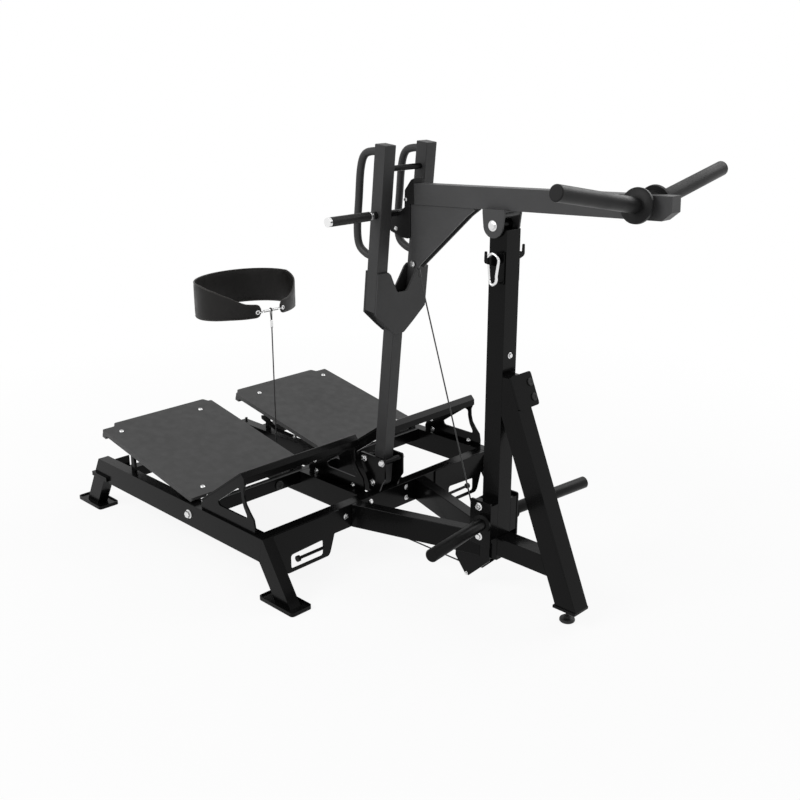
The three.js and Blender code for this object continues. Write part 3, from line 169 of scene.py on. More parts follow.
def powder_coat(name, level, rough, coat, coat_rough, peel, specular):
    """Sprayed powder: a faint mottle, a fine orange peel and a little dust in the gloss."""
    m = Nodes(name)
    mottle = m.noise(9.0, 4.0)
    m.link(m.mix(mottle, grey(level * 0.8), grey(level * 1.25, (1, 1, 1.03))), m.shader.inputs["Base Color"])
    smudge = m.noise(3.5, 5.0, 0.62)
    m.link(m.spread(smudge, 0.3, 0.75, rough * 0.8, rough * 1.35), m.shader.inputs["Roughness"])
    m.shader.inputs["Coat Weight"].default_value = coat
    m.shader.inputs["Coat Roughness"].default_value = coat_rough
    m.shader.inputs["Specular IOR Level"].default_value = specular
    m.bump(m.noise(620.0, 2.0), peel, 0.0004)
    return m.material


def plated(name, level, rough):
    m = Nodes(name)
    m.shader.inputs["Metallic"].default_value = 1.0
    film = m.noise(60.0, 4.0)
    m.link(m.mix(film, grey(level * 0.86), grey(level)), m.shader.inputs["Base Color"])
    m.link(m.spread(m.noise(140.0, 3.0), 0.3, 0.7, rough * 0.7, rough * 1.5), m.shader.inputs["Roughness"])
    m.bump(m.noise(420.0, 2.0), 0.05, 0.0003)
    return m.material


def rubbery(name, level, rough, grain):
    m = Nodes(name)
    m.link(m.mix(m.noise(14.0, 5.0), grey(level * 0.75), grey(level * 1.2)), m.shader.inputs["Base Color"])
    m.link(m.spread(m.noise(40.0, 3.0), 0.3, 0.7, rough * 0.9, rough * 1.12), m.shader.inputs["Roughness"])
    m.shader.inputs["Specular IOR Level"].default_value = 0.3
    m.bump(m.noise(900.0, 2.0, 0.6), grain, 0.0005)
    return m.material


def deck_facing(name):
    """Matt rubber facing: a fine pebble grain, scuffed a little paler in patches all over."""
    m = Nodes(name)
    where = m.place()
    scuff = m.noise(7.0, 6.0, 0.65, where)
    m.link(m.mix(scuff, grey(0.053), grey(0.0585)), m.shader.inputs["Base Color"])
    m.link(m.spread(m.noise(24.0, 4.0, 0.5, where), 0.3, 0.7, 0.62, 0.78), m.shader.inputs["Roughness"])
    m.shader.inputs["Specular IOR Level"].default_value = 0.35
    cells = m.add("ShaderNodeTexVoronoi", Scale=420.0)
    m.link(where, cells.inputs["Vector"])
    m.bump(cells.outputs["Distance"], 0.25, 0.0005)
    return m.material


def leather(name, level):
    m = Nodes(name)
    where = m.place()
    dark, pale = grey(level * 0.7, (1, 0.92, 0.86)), grey(level * 1.4, (1, 0.9, 0.82))
    m.link(m.mix(m.noise(16.0, 6.0, 0.6, where), dark, pale), m.shader.inputs["Base Color"])
    m.link(m.spread(m.noise(30.0, 4.0, 0.5, where), 0.3, 0.7, 0.34, 0.52), m.shader.inputs["Roughness"])
    m.shader.inputs["Specular IOR Level"].default_value = 0.25
    cells = m.add("ShaderNodeTexVoronoi", Scale=330.0, feature="DISTANCE_TO_EDGE")
    m.link(where, cells.inputs["Vector"])
    m.bump(cells.outputs["Distance"], 0.35, 0.0006)
    return m.material


def braided(name, level):
    """Jacketed wire rope: the strands show through as a slanting wave."""
    m = Nodes(name)
    where = m.place()
    wave = m.add("ShaderNodeTexWave", Scale=120.0, Distortion=0.4, bands_direction="DIAGONAL")
    m.link(where, wave.inputs["Vector"])
    m.link(m.mix(wave.outputs["Fac"], grey(level * 0.6), grey(level * 1.4)), m.shader.inputs["Base Color"])
    m.shader.inputs["Roughness"].default_value = 0.42
    m.bump(wave.outputs["Fac"], 0.3, 0.0005)
    return m.material


def banded(name, bands, plain, level, rough):
    """Black paint on a bar along Y, with bright plating between each pair of values in bands."""
    m = Nodes(name)
    place = m.add("ShaderNodeSeparateXYZ")
    m.link(m.place(), place.inputs[0])
    insides = []
    for low, high in bands:
        above = m.add("ShaderNodeMath", operation="GREATER_THAN")
        above.inputs[1].default_value = low
        m.link(place.outputs["Y"], above.inputs[0])
        below = m.add("ShaderNodeMath", operation="LESS_THAN")
        below.inputs[1].default_value = high
        m.link(place.outputs["Y"], below.inputs[0])
        inside = m.add("ShaderNodeMath", operation="MULTIPLY")
        m.link(above.outputs[0], inside.inputs[0])
        m.link(below.outputs[0], inside.inputs[1])
        insides.append(inside.outputs[0])
    total = either(m.tree, *insides)
    m.link(m.mix(total, grey(plain), grey(level)), m.shader.inputs["Base Color"])
    m.link(total, m.shader.inputs["Metallic"])
    film = m.spread(m.noise(90.0, 3.0), 0.3, 0.7, rough * 0.8, rough * 1.3)
    m.link(film, m.shader.inputs["Roughness"])
    m.bump(m.noise(420.0, 2.0), 0.05, 0.0003)
    return m.material


FINISH = {
    "paint": powder_coat("gloss_black_powder", 0.003, 0.2, 0.03, 0.05, 0.07, 0.08),
    "satin": powder_coat("satin_charcoal_powder", 0.034, 0.44, 0.0, 0.2, 0.14, 0.25),
    "decking": deck_facing("deck_facing"),
    "rubber": rubbery("black_rubber", 0.012, 0.5, 0.12),
    "steel": plated("bright_plate", 0.82, 0.14),
    "cable": braided("wire_rope", 0.016),
    "pulley": rubbery("pulley_nylon", 0.015, 0.38, 0.05),
    "leather": leather("belt_leather", 0.007),
}
BEAM_COAT = powder_coat("satin_grey_powder", 0.048, 0.42, 0.0, 0.2, 0.14, 0.3)
HORN_COAT = powder_coat("horn_powder", 0.011, 0.4, 0.0, 0.2, 0.1, 0.15)
DARK_COAT = powder_coat("dark_powder", 0.004, 0.34, 0.0, 0.2, 0.1, 0.1)
OWN_FINISH = {
    "grip_bar": banded("plated_ends", ((-0.5, -0.34), (-0.175, -0.159)), 0.008, 0.85, 0.16),
    "lever_beam": BEAM_COAT,
    "gusset": BEAM_COAT,
    "near_weight_horn": HORN_COAT,
    "far_weight_horn": HORN_COAT,
    "lock_hook": HORN_COAT,
    "near_storage_horn": DARK_COAT,
    "far_storage_horn": DARK_COAT,
    "mast_crossbar": DARK_COAT,
}
BOLT = plated("zinc_bolt", 0.8, 0.2)
CUT_EDGE = leather("belt_cut_edge", 0.022)


EDGE_ANGLE = math.radians(34.0)


def dress(obj, material, width):
    """Finish a CAD node: its faceted rounds read smooth and its edges get their small radius."""
    mesh = obj.data
    if "custom_normal" in mesh.attributes:
        mesh.attributes.remove(mesh.attributes["custom_normal"])
    mesh.polygons.foreach_set("use_smooth", [True] * len(mesh.polygons))
    weld = obj.modifiers.new("weld", "WELD")
    weld.merge_threshold = 0.00002
    flat = obj.modifiers.new("flats", "DECIMATE")
    flat.decimate_type = "DISSOLVE"
    flat.angle_limit = math.radians(0.4)
    bevel = obj.modifiers.new("edges", "BEVEL")
    bevel.width = width
    bevel.segments = 2
    bevel.limit_method = "ANGLE"
    bevel.angle_limit = EDGE_ANGLE
    bevel.harden_normals = True
    mesh.materials.clear()
    mesh.materials.append(material)


SLOT_OF = {q["node"]: q["material_slot"] for q in frame["record"]["subparts"]}
TUBES = ("rail", "leg", "cross_member", "brace", "upright", "strut", "stay", "beam", "mast_tube")
TUBE_EDGE = 2.5 * MM
PLATE_EDGE = 0.9 * MM
for node_name, node_object in frame["nodes"].items():
    edge = TUBE_EDGE if any(word in node_name for word in TUBES) else PLATE_EDGE
    dress(node_object, OWN_FINISH.get(node_name, FINISH[SLOT_OF[node_name]]), edge)


# Mesh helpers
def piece(name, mesh, material, body):
    obj = bpy.data.objects.new(name, mesh)
    bpy.context.scene.collection.objects.link(obj)
    obj.data.materials.append(material)
    if body:
        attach(obj, body)
    return obj


def aligned(centre, axis):
    turn = Vector((0, 0, 1)).rotation_difference(Vector(axis).normalized())
    return Matrix.Translation(centre) @ turn.to_matrix().to_4x4()


def turned(bm, profile, matrix, sides):
    """A closed profile of (radius, height) pairs turned about the matrix's Z axis, added to bm."""
    rings = []
    for r, h in profile:
        if r < 1e-7:
            rings.append([bm.verts.new(matrix @ Vector((0, 0, h)))])
        else:
            angles = [2 * math.pi * i / sides for i in range(sides)]
            points = [Vector((r * math.cos(a), r * math.sin(a), h)) for a in angles]
            rings.append([bm.verts.new(matrix @ point) for point in points])
    for low, high in zip(rings, rings[1:]):
        for i in range(sides):
            j = (i + 1) % sides
            if len(low) == 1:
                bm.faces.new((low[0], high[j], high[i]))
            elif len(high) == 1:
                bm.faces.new((low[i], low[j], high[0]))
            else:
                bm.faces.new((low[i], low[j], high[j], high[i]))


def finished(bm, name, smooth_angle=35.0):
    bmesh.ops.recalc_face_normals(bm, faces=bm.faces)
    mesh = bpy.data.meshes.new(name)
    bm.to_mesh(mesh)
    bm.free()
    mesh.shade_smooth()
    mesh.set_sharp_from_angle(angle=math.radians(smooth_angle))
    return mesh


HEX_SIDES = 6


def hex_bolt(bm, centre, axis, size, height, washer):
    """A washer and a chamfered hexagon head standing on the face at centre."""
    m = aligned(centre, axis)
    turned(bm, [(0, 0), (washer, 0), (washer, 0.0016), (washer * 0.96, 0.002), (0, 0.002)], m, 28)
    corner = size / math.cos(math.pi / HEX_SIDES)
    head = [(0, 0.002), (corner, 0.002), (corner, height * 0.86), (corner * 0.9, height), (0, height)]
    turned(bm, head, m, HEX_SIDES)


def button_bolt(bm, centre, axis, radius, height):
    """A domed button head with its hexagon socket."""
    m = aligned(centre, axis)
    dome = [(0, 0), (radius, 0)]
    steps = 6
    for i in range(steps + 1):
        a = (math.pi / 2) * i / steps
        dome.append((radius * (0.55 + 0.45 * math.cos(a)), height * math.sin(a)))
    dome += [(radius * 0.42, height), (radius * 0.42, height * 0.35), (0, height * 0.3)]
    turned(bm, dome, m, 24)


# Half the width across flats, height over the face and washer radius of each hexagon bolt
HEX_SIZES = {
    "tiny_hex": (0.005, 0.006, 0.0078),
    "small_hex": (0.0072, 0.008, 0.0115),
    "hex": (0.0098, 0.011, 0.0155),
    "big_hex": (0.0125, 0.014, 0.019),
}
BUTTON_SIZE = (0.011, 0.005)


def bolts(name, body, places, kind):
    """One piece for a set of equal fasteners: places holds (x, y, z, axis) in millimetres."""
    bm = bmesh.new()
    for x, y, z, axis in places:
        if kind == "button":
            button_bolt(bm, at(x, y, z), axis, *BUTTON_SIZE)
        else:
            hex_bolt(bm, at(x, y, z), axis, *HEX_SIZES[kind])
    piece(name, finished(bm, name), BOLT, body)


def both(*places):
    """The places, and their mirror images on the far side."""
    out = []
    for x, y, z, (ax, ay, az) in places:
        out += [(x, y, z, (ax, ay, az)), (x, -y, z, (ax, -ay, az))]
    return out


# Fasteners on the frame
NEAR = (0, -1, 0)
AHEAD = (1, 0, 0)
FAR = (0, 1, 0)
UP = (0, 0, 1)
RAIL_OUT = 675
BRACKET_OUT = 83
HOUSING_OUT = 46.3
CHEEK_OUT = 56
TOE_OUT = 656
TOE_IN = 92
TOE_BOLTS = ((-943, 304), (-932, 256), (-702, 256))
bolts("rail_pivot_bolts", "frame", both((-1060, -RAIL_OUT, 199, NEAR)), "big_hex")
bolts(
    "cross_member_bolts",
    "frame",
    both((-580, -247, 202, AHEAD), (-580, -106, 223, AHEAD), (-580, -106, 176, AHEAD)),
    "small_hex",
)
bolts(
    "storage_bolts",
    "frame",
    both((-17, -BRACKET_OUT, 371, NEAR), (-13, -BRACKET_OUT, 250, NEAR)),
    "hex",
)
bolts("housing_keeper_bolts", "frame", both((-102, -HOUSING_OUT, 47.4, NEAR)), "tiny_hex")
bolts(
    "mast_stop_bolts",
    "frame",
    both((-668, -CHEEK_OUT, 380, NEAR), (-563, -CHEEK_OUT, 383, NEAR), (-618, -CHEEK_OUT, 283, NEAR)),
    "hex",
)
bolts("bumper_bolt", "frame", [(38, 0, 954, AHEAD)], "small_hex")
bolts("pulley_pin_bolts", "frame", both((-1273, -24, 106, NEAR)), "small_hex")
bolts(
    "toe_rest_bolts",
    "frame",
    both(*((x, -TOE_OUT, z, FAR) for x, z in TOE_BOLTS)),
    "small_hex",
)
bolts(
    "toe_rest_inner_bolts",
    "frame",
    both(*((x, -TOE_IN, z, NEAR) for x, z in TOE_BOLTS)),
    "small_hex",
)

# Fasteners on the lever
LEVER_PIVOT = (-16, 1418)
TIP = (-422, 1227)
HOOK_SIDE = 25
bolts(
    "lock_hook_bolts",
    "lever",
    both((-459.5, -HOOK_SIDE, 1466, NEAR), (-509.6, -HOOK_SIDE, 1352.6, NEAR)),
    "tiny_hex",
)
bolts("gusset_tip_bolts", "lever", both((TIP[0], -26, TIP[1], NEAR)), "small_hex")

# Fasteners on the decks and props
PIVOT_X, PIVOT_Z = -1060, 199
TILT = math.atan(126 / 675)
DECK_H = 68.7


def on_deck(x, y):
    """A place on the deck's tilted surface, with its upward direction."""
    c, s = math.cos(TILT), math.sin(TILT)
    u = (x - PIVOT_X - DECK_H * s) / c
    return (x, y, PIVOT_Z - u * s + DECK_H * c, (s, 0, c))


for word, side in SIDES:
    places = [on_deck(-1668, side * 601), on_deck(-1668, side * 177), on_deck(-1100, side * 573)]
    bolts(word + "_deck_bolts", word + "_platform", places, "button")
    inward = (0, -side, 0)
    bolts(word + "_link_bolt", word + "_prop_frame", [(-1284, side * 76, 276.5, inward)], "tiny_hex")


# Rubber pieces: bump discs, stop plate plugs and a knob on each rail
def discs(name, body, places, profile, material):
    """One piece for a set of equal turned parts: places holds (x, y, z, axis) in millimetres."""
    bm = bmesh.new()
    for x, y, z, axis in places:
        turned(bm, profile, aligned(at(x, y, z), axis), 40)
    piece(name, finished(bm, name), material, body)


BUMP = [(0, 0), (0.02, 0), (0.02, 0.0055), (0.0185, 0.0075), (0.008, 0.0075), (0.007, 0.0055), (0, 0.0055)]
discs("deck_bump_discs", "frame", both((-1000, -250, 215, AHEAD)), BUMP, FINISH["rubber"])
SEAT = 0.3
STAY_OUT_X, STAY_AT_Z = 406, 76
STAY_SLOPE = 0.4187
LONG = math.hypot(1, STAY_SLOPE)
OUTWARD = (1 / LONG, 0, STAY_SLOPE / LONG)


def on_stop_plate(z, y, proud):
    """A place on the outer face of the stop plate, which lies on the sloping stay."""
    x = STAY_OUT_X - (z - STAY_AT_Z) * STAY_SLOPE + SEAT
    return (x + OUTWARD[0] * proud, y, z + OUTWARD[2] * proud, OUTWARD)


PLUG = [(0, -0.0095), (0.0086, -0.0095), (0.0086, 0.0002), (0.0145, 0.0002), (0.0145, 0.0035)]
PLUG += [(0.013, 0.0052), (0.006, 0.0056), (0.005, 0.0042), (0, 0.0042)]
plug_places = [on_stop_plate(z, 58, 8) for z in (798, 850)]
discs("stop_plate_plugs", "frame", plug_places, PLUG, FINISH["rubber"])
KNOB = [(0, 0), (0.0055, 0), (0.0055, 0.002), (0.004, 0.004), (0.004, 0.005), (0.0068, 0.0068)]
KNOB += [(0.0072, 0.0098), (0.0055, 0.0118), (0, 0.0124)]
discs("rail_knobs", "frame", both((-1709, -120, 246.2, UP)), KNOB, FINISH["rubber"])

# Washer round each end of the lever's pivot bolt
WASHER = [(0.0105, 0), (0.019, 0), (0.019, 0.00192), (0.01852, 0.0024)]
WASHER += [(0.01098, 0.0024), (0.0105, 0.00192), (0.0105, 0)]
washer_places = both((LEVER_PIVOT[0], -50, LEVER_PIVOT[1], NEAR))
discs("pivot_washers", "lever", washer_places, WASHER, BOLT)


# Ropes
STRANDS = 6
LAY = 0.024
ROPE_STEP = 0.004
ROPE_SIDES = 24


def rope_mesh(points, radius):
    """A laid rope along points: its cross-section has a bulge for each strand and twists as it goes."""
    lengths = [0.0]
    for a, b in zip(points, points[1:]):
        lengths.append(lengths[-1] + (b - a).length)
    count = max(2, int(lengths[-1] / ROPE_STEP))
    bm = bmesh.new()
    rings_made = []
    k = 0
    for i in range(count + 1):
        d = lengths[-1] * i / count
        while k < len(points) - 2 and lengths[k + 1] < d:
            k += 1
        share = (d - lengths[k]) / max(lengths[k + 1] - lengths[k], 1e-9)
        middle = points[k].lerp(points[k + 1], min(max(share, 0), 1))
        before = points[max(k - 1, 0)] if share < 0.5 else points[k]
        after = points[k + 1] if share < 0.5 else points[min(k + 2, len(points) - 1)]
        along = (after - before).normalized()
        across = Vector((0, 1, 0))
        if abs(along.dot(across)) > 0.9:
            across = Vector((0, 0, 1))
        other = along.cross(across).normalized()
        across = other.cross(along).normalized()
        twist = 2 * math.pi * d / LAY
        ring = []
        for j in range(ROPE_SIDES):
            a = 2 * math.pi * j / ROPE_SIDES
            r = radius * (0.93 + 0.07 * math.cos(STRANDS * (a - twist)))
            ring.append(bm.verts.new(middle + across * (r * math.cos(a)) + other * (r * math.sin(a))))
        rings_made.append(ring)
    for low, high in zip(rings_made, rings_made[1:]):
        for j in range(ROPE_SIDES):
            n = (j + 1) % ROPE_SIDES
            bm.faces.new((low[j], low[n], high[n], high[j]))
    bm.faces.new(list(reversed(rings_made[0])))
    bm.faces.new(rings_made[-1])
    return bm


def arc_points(cx, cz, r, start, end, steps):
    out = []
    for i in range(steps + 1):
        a = start + (end - start) * i / steps
        out.append(at(cx + r * math.cos(a), 0, cz + r * math.sin(a)))
    return out


def ring_profile(radius, wire):
    """A ring's round section, for turning about the ring's axis."""
    angles = [2 * math.pi * i / 16 for i in range(17)]
    return [(radius + wire * math.cos(a), wire * math.sin(a)) for a in angles]


CABLE_R = 0.003
PULLEY_R = 50
FOOT = (-105, 106)
CENTRE = (-1273, 106)
down = (FOOT[0] - TIP[0], FOOT[1] - TIP[1])
span = math.hypot(*down)
turn = math.atan2(down[1], down[0]) + math.asin(PULLEY_R / span)
leave = (FOOT[0] - PULLEY_R * math.sin(turn), FOOT[1] + PULLEY_R * math.cos(turn))
way = (math.cos(turn), math.sin(turn))


def on_way(t):
    return at(TIP[0] + way[0] * t, 0, TIP[1] + way[1] * t)


# The lever cable: rope and swaged sleeve in one piece, laid straight from the gusset's pin and
# given a mesh of its own. It meets the pin at both limits and leaves it in between.
bm = rope_mesh([on_way(52), at(leave[0], 0, leave[1])], CABLE_R)
SWAGE = [(0, 0.0132), (0.0045, 0.0132), (0.0062, 0.0165), (0.0062, 0.05)]
SWAGE += [(0.005, 0.053), (0.0034, 0.0545), (0, 0.0545)]
turned(bm, SWAGE, aligned(on_way(0), (way[0], 0, way[1])), 24)
lever_rope = piece("lever_rope", finished(bm, "lever_rope", 60), FINISH["cable"], "frame")
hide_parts("lever_cable")
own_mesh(lever_rope)

# Its eye is round about the gusset's pin, so it swings with the lever and keeps its shape
bm = bmesh.new()
turned(bm, ring_profile(0.0105, 0.0032), aligned(on_way(0), NEAR), 36)
piece("lever_rope_eye", finished(bm, "lever_rope_eye", 60), FINISH["cable"], "lever")

# The low run under both pulleys
start_turn = math.atan2(leave[1] - FOOT[1], leave[0] - FOOT[0])
low_points = arc_points(*FOOT, PULLEY_R, start_turn, -math.pi / 2, 20)
low_points += arc_points(*CENTRE, PULLEY_R, -math.pi / 2, -math.pi, 20)
low_rope = piece(
    "low_rope", finished(rope_mesh(low_points, CABLE_R), "low_rope", 60), FINISH["cable"], "frame"
)
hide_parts("low_cable")

# The belt's cable, its ferrule and thimble
BELT_X = CENTRE[0] - PULLEY_R
bm = rope_mesh([at(BELT_X, 0, 106.4), at(BELT_X, 0, 812)], CABLE_R)
belt_rope = piece("belt_rope", finished(bm, "belt_rope", 60), FINISH["cable"], None)
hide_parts("belt_cable")
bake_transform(belt_rope)
FERRULE = [(0, 0), (0.0036, 0), (0.0062, 0.003), (0.0066, 0.006), (0.0066, 0.031), (0.0058, 0.035)]
FERRULE += [(0.004, 0.038), (0, 0.038)]
bm = bmesh.new()
turned(bm, FERRULE, aligned(at(BELT_X, 0, 811), UP), 28)
piece("belt_ferrule", finished(bm, "belt_ferrule"), BOLT, "waist_belt")


def round_wire(points, radius, sides=12, closed=False):
    """A round wire along points, added to a new bmesh."""
    bm = bmesh.new()
    count = len(points)
    loops = []
    side_way = None
    for i, p in enumerate(points):
        a = points[(i - 1) % count] if closed or i > 0 else p
        b = points[(i + 1) % count] if closed or i < count - 1 else p
        along = (b - a).normalized()
        if side_way is None:
            side_way = Vector((0, 1, 0)) if abs(along.y) < 0.9 else Vector((0, 0, 1))
        other = along.cross(side_way).normalized()
        side_way = other.cross(along).normalized()
        loop = []
        for j in range(sides):
            turn_j = 2 * math.pi * j / sides
            across = side_way * (radius * math.cos(turn_j))
            loop.append(bm.verts.new(p + across + other * (radius * math.sin(turn_j))))
        loops.append(loop)
    pairs = list(zip(loops, loops[1:]))
    if closed:
        pairs.append((loops[-1], loops[0]))
    for low, high in pairs:
        for j in range(sides):
            n = (j + 1) % sides
            bm.faces.new((low[j], low[n], high[n], high[j]))
    if not closed:
        bm.faces.new(list(reversed(loops[0])))
        bm.faces.new(loops[-1])
    return bm


# Thimble: a teardrop of rope from the ferrule round the link bar
LINK_X, LINK_Z = -1325, 894
THIMBLE_R = 8.6
THIMBLE_FOOT = 848
LEG_OUT = 2.4
drop = [at(BELT_X + LEG_OUT, 0, THIMBLE_FOOT)]
for i in range(33):
    a = math.radians(-50 + 280 * i / 32)
    drop.append(at(LINK_X + THIMBLE_R * math.cos(a), 0, LINK_Z + THIMBLE_R * math.sin(a)))
drop.append(at(BELT_X - LEG_OUT, 0, THIMBLE_FOOT))
piece(
    "belt_thimble",
    finished(round_wire(drop, 0.0024), "belt_thimble", 70),
    FINISH["cable"],
    "waist_belt",
)

# Link: a plated bar between the ends of the belt, with a ring at each end and a sleeve on each half
bm = bmesh.new()
BAR = [(0, -0.047), (0.0036, -0.047), (0.0036, -0.011), (0.0058, -0.009), (0.0058, 0.009)]
BAR += [(0.0036, 0.011), (0.0036, 0.047), (0, 0.047)]
turned(bm, BAR, aligned(at(LINK_X, 0, LINK_Z), FAR), 28)
SLEEVE = [(0.0036, 0), (0.0058, 0.0008), (0.0058, 0.0262), (0.0036, 0.027), (0.0036, 0)]
turned(bm, SLEEVE, aligned(at(LINK_X, -40, LINK_Z), FAR), 28)
turned(bm, SLEEVE, aligned(at(LINK_X, 13, LINK_Z), FAR), 28)
for side in (-1, 1):
    turned(bm, ring_profile(0.0095, 0.0027), aligned(at(LINK_X, side * 55, LINK_Z), UP), 32)
link = piece("belt_bar", finished(bm, "belt_bar"), FINISH["steel"], "waist_belt")
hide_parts("belt_link")

# Waist belt: a thick strap bent into a loop, tall behind the back and narrow at both ends
BELT_MID = -1507
LOOP_HALF = (184, 247)
OPEN = 0.235
STRAP_T = 7.0
EDGE_ROLL = 3
EDGE_THIN = 0.55
BLUNT = 0.38
LOWER = ((-1800, 862), (-1510, 862), (-1434, 866), (-1383, 870), (-1347, 870), (-1300, 874))
UPPER = ((-1800, 1016), (-1510, 1013), (-1434, 992), (-1383, 965), (-1347, 932), (-1300, 914))


def along_line(points, x):
    for (x0, z0), (x1, z1) in zip(points, points[1:]):
        if x <= x1:
            return z0 + (z1 - z0) * (x - x0) / (x1 - x0)
    return points[-1][1]


AROUND = 220
ACROSS = 12
ROUND_END = 0.09


def loop_place(a, out, z):
    x = BELT_MID + (LOOP_HALF[0] + out) * math.cos(a)
    y = (LOOP_HALF[1] + out) * math.sin(a)
    return at(x, y, z)


def belt_edges(a):
    """The lower and upper edge of the strap at an angle round the loop, with both ends rounded."""
    x = BELT_MID + LOOP_HALF[0] * math.cos(a)
    low, high = along_line(LOWER, x), along_line(UPPER, x)
    near_end = min(a - OPEN, 2 * math.pi - OPEN - a) / ROUND_END
    if near_end < 1:
        middle = (low + high) / 2
        share = math.sqrt(max(1 - (1 - near_end) ** 2, 0)) * (1 - BLUNT) + BLUNT
        low = middle - (middle - low) * share
        high = middle + (high - middle) * share
    return low, high


def belt_angles():
    return [OPEN + (2 * math.pi - 2 * OPEN) * i / AROUND for i in range(AROUND + 1)]


def strap():
    """The strap: a rounded slab whose two broad faces crown a little."""
    bm = bmesh.new()
    half = STRAP_T / 2
    loops = []
    for a in belt_angles():
        low, high = belt_edges(a)
        ring = []
        for face in (1, -1):
            for j in range(ACROSS + 1):
                t = j / ACROSS
                if face < 0:
                    t = 1 - t
                edge = min(t, 1 - t) * (high - low)
                rolled = EDGE_THIN + (1 - EDGE_THIN) * math.sqrt(min(edge / EDGE_ROLL, 1))
                swell = half * rolled
                crown = 0.5 * math.sin(math.pi * t)
                z = low + (high - low) * t
                ring.append(bm.verts.new(loop_place(a, face * (swell + crown * 0.6), z)))
        loops.append(ring)
    count = len(loops[0])
    for low_ring, high_ring in zip(loops, loops[1:]):
        for j in range(count):
            n = (j + 1) % count
            bm.faces.new((low_ring[j], low_ring[n], high_ring[n], high_ring[j]))
    bm.faces.new(list(reversed(loops[0])))
    bm.faces.new(loops[-1])
    return bm


belt = piece("belt_strap", finished(strap(), "belt_strap", 50), FINISH["leather"], "waist_belt")
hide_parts("belt")


# The burnished edge that runs all round the strap
def edge_points():
    points = []
    angles = belt_angles()
    for a in angles:
        points.append(loop_place(a, 0, belt_edges(a)[1]))
    for share in (0.8, 0.5, 0.2):
        low, high = belt_edges(angles[-1])
        points.append(loop_place(angles[-1] + 0.004, 0, low + (high - low) * share))
    for a in reversed(angles):
        points.append(loop_place(a, 0, belt_edges(a)[0]))
    for share in (0.2, 0.5, 0.8):
        low, high = belt_edges(angles[0])
        points.append(loop_place(angles[0] - 0.004, 0, low + (high - low) * share))
    return points


piece(
    "belt_edge",
    finished(round_wire(edge_points(), 0.0037, 10, closed=True), "belt_edge", 70),
    CUT_EDGE,
    "waist_belt",
)


# Eyelets at the ends of the belt
EYELET_IN = 0.055
EYELET_Z = 893
EYELET = [(0.0055, -0.0046), (0.0095, -0.0046), (0.0105, -0.0036), (0.0105, 0.0036)]
EYELET += [(0.0095, 0.0046), (0.0055, 0.0046), (0.0055, -0.0046)]
bm = bmesh.new()
for side in (-1, 1):
    a = OPEN + EYELET_IN if side > 0 else 2 * math.pi - OPEN - EYELET_IN
    place = loop_place(a, 0, EYELET_Z)
    outward = Vector((math.cos(a) / LOOP_HALF[0], math.sin(a) / LOOP_HALF[1], 0)).normalized()
    turned(bm, EYELET, aligned(place, outward), 28)
piece("belt_eyelets", finished(bm, "belt_eyelets"), BOLT, "waist_belt")


# Studio: a white floor that keeps a soft shadow, a white surround, and soft lamps.
# The floor turns to plain white over these distances from the middle, in metres.
GLOW_FROM, GLOW_FULL = 1.6, 3.6
SEEN_RAYS = ("Is Camera Ray", "Is Glossy Ray", "Is Transmission Ray")


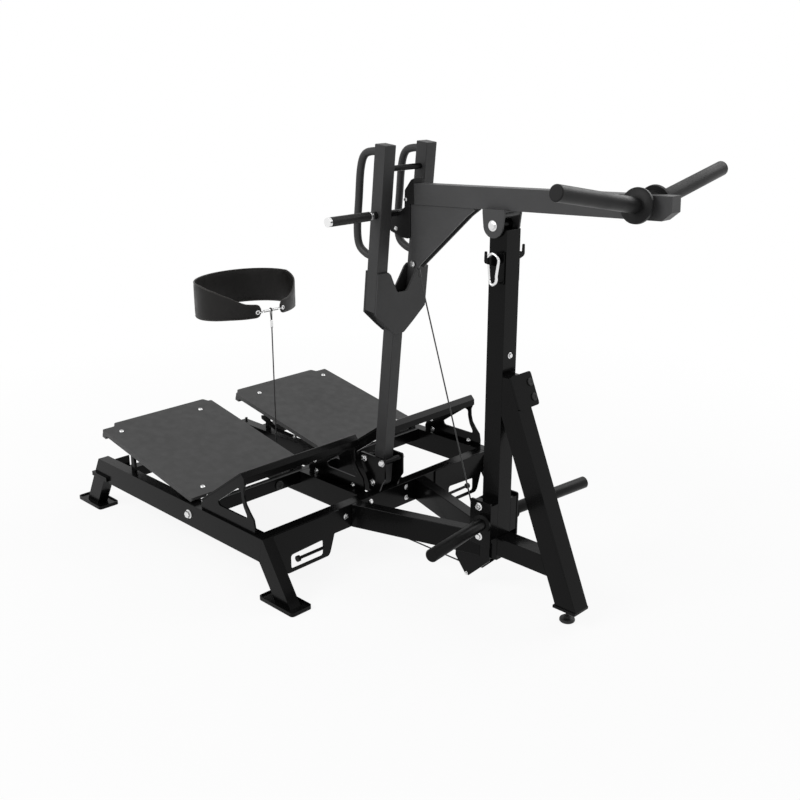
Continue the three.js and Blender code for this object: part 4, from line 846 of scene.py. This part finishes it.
def studio():
    m = Nodes("studio_floor")
    m.shader.inputs["Base Color"].default_value = (0.93, 0.93, 0.93, 1)
    m.shader.inputs["Roughness"].default_value = 0.9
    m.shader.inputs["Specular IOR Level"].default_value = 0.1
    glow = m.add("ShaderNodeEmission", Strength=1.0)
    glow.inputs["Color"].default_value = (1, 1, 1, 1)
    path = m.add("ShaderNodeLightPath")
    seen = either(m.tree, *(path.outputs[ray] for ray in SEEN_RAYS))
    reach = m.add("ShaderNodeVectorMath", operation="LENGTH")
    m.link(m.place(), reach.inputs[0])
    white = m.spread(reach.outputs["Value"], GLOW_FROM, GLOW_FULL, 0.9, 1.0)
    share = m.add("ShaderNodeMath", operation="MULTIPLY")
    m.link(seen, share.inputs[0])
    m.link(white, share.inputs[1])
    mix = m.add("ShaderNodeMixShader")
    m.link(share.outputs[0], mix.inputs["Fac"])
    m.link(m.shader.outputs["BSDF"], mix.inputs[1])
    m.link(glow.outputs["Emission"], mix.inputs[2])
    m.link(mix.outputs["Shader"], m.tree.nodes["Material Output"].inputs["Surface"])
    bm = bmesh.new()
    bmesh.ops.create_circle(bm, cap_ends=True, segments=96, radius=30)
    mesh = bpy.data.meshes.new("floor")
    bm.to_mesh(mesh)
    bm.free()
    floor = bpy.data.objects.new("floor", mesh)
    floor.location.z = -0.0005
    bpy.context.scene.collection.objects.link(floor)
    mesh.materials.append(m.material)

    world = bpy.data.worlds.new("studio")
    bpy.context.scene.world = world
    world.use_nodes = True
    tree = world.node_tree
    background = tree.nodes["Background"]
    background.inputs["Color"].default_value = (1, 1, 1, 1)
    rays = tree.nodes.new("ShaderNodeLightPath")
    strength = tree.nodes.new("ShaderNodeMapRange")
    strength.inputs["To Min"].default_value = 0.5
    strength.inputs["To Max"].default_value = 1.0
    seen = either(tree, *(rays.outputs[ray] for ray in SEEN_RAYS))
    tree.links.new(seen, strength.inputs["Value"])
    tree.links.new(strength.outputs["Result"], background.inputs["Strength"])


def lamp(name, where, target, size, power):
    data = bpy.data.lights.new(name, "AREA")
    data.shape = "RECTANGLE"
    data.size, data.size_y = size
    data.energy = power
    obj = bpy.data.objects.new(name, data)
    bpy.context.scene.collection.objects.link(obj)
    way = Vector(where) - Vector(target)
    obj.matrix_world = Matrix.Translation(where) @ way.to_track_quat("Z", "Y").to_matrix().to_4x4()
    obj.visible_camera = False


studio()
AIM = (0, 0, 0.7)
lamp("key", (-1.5, -5.5, 5.0), AIM, (3.5, 2.5), 190)
lamp("side", (5.5, -1.5, 2.6), AIM, (2.0, 3.0), 10)
lamp("rim", (1.0, 5.0, 4.0), AIM, (4.0, 2.0), 80)
bpy.context.scene.view_settings.view_transform = "Standard"
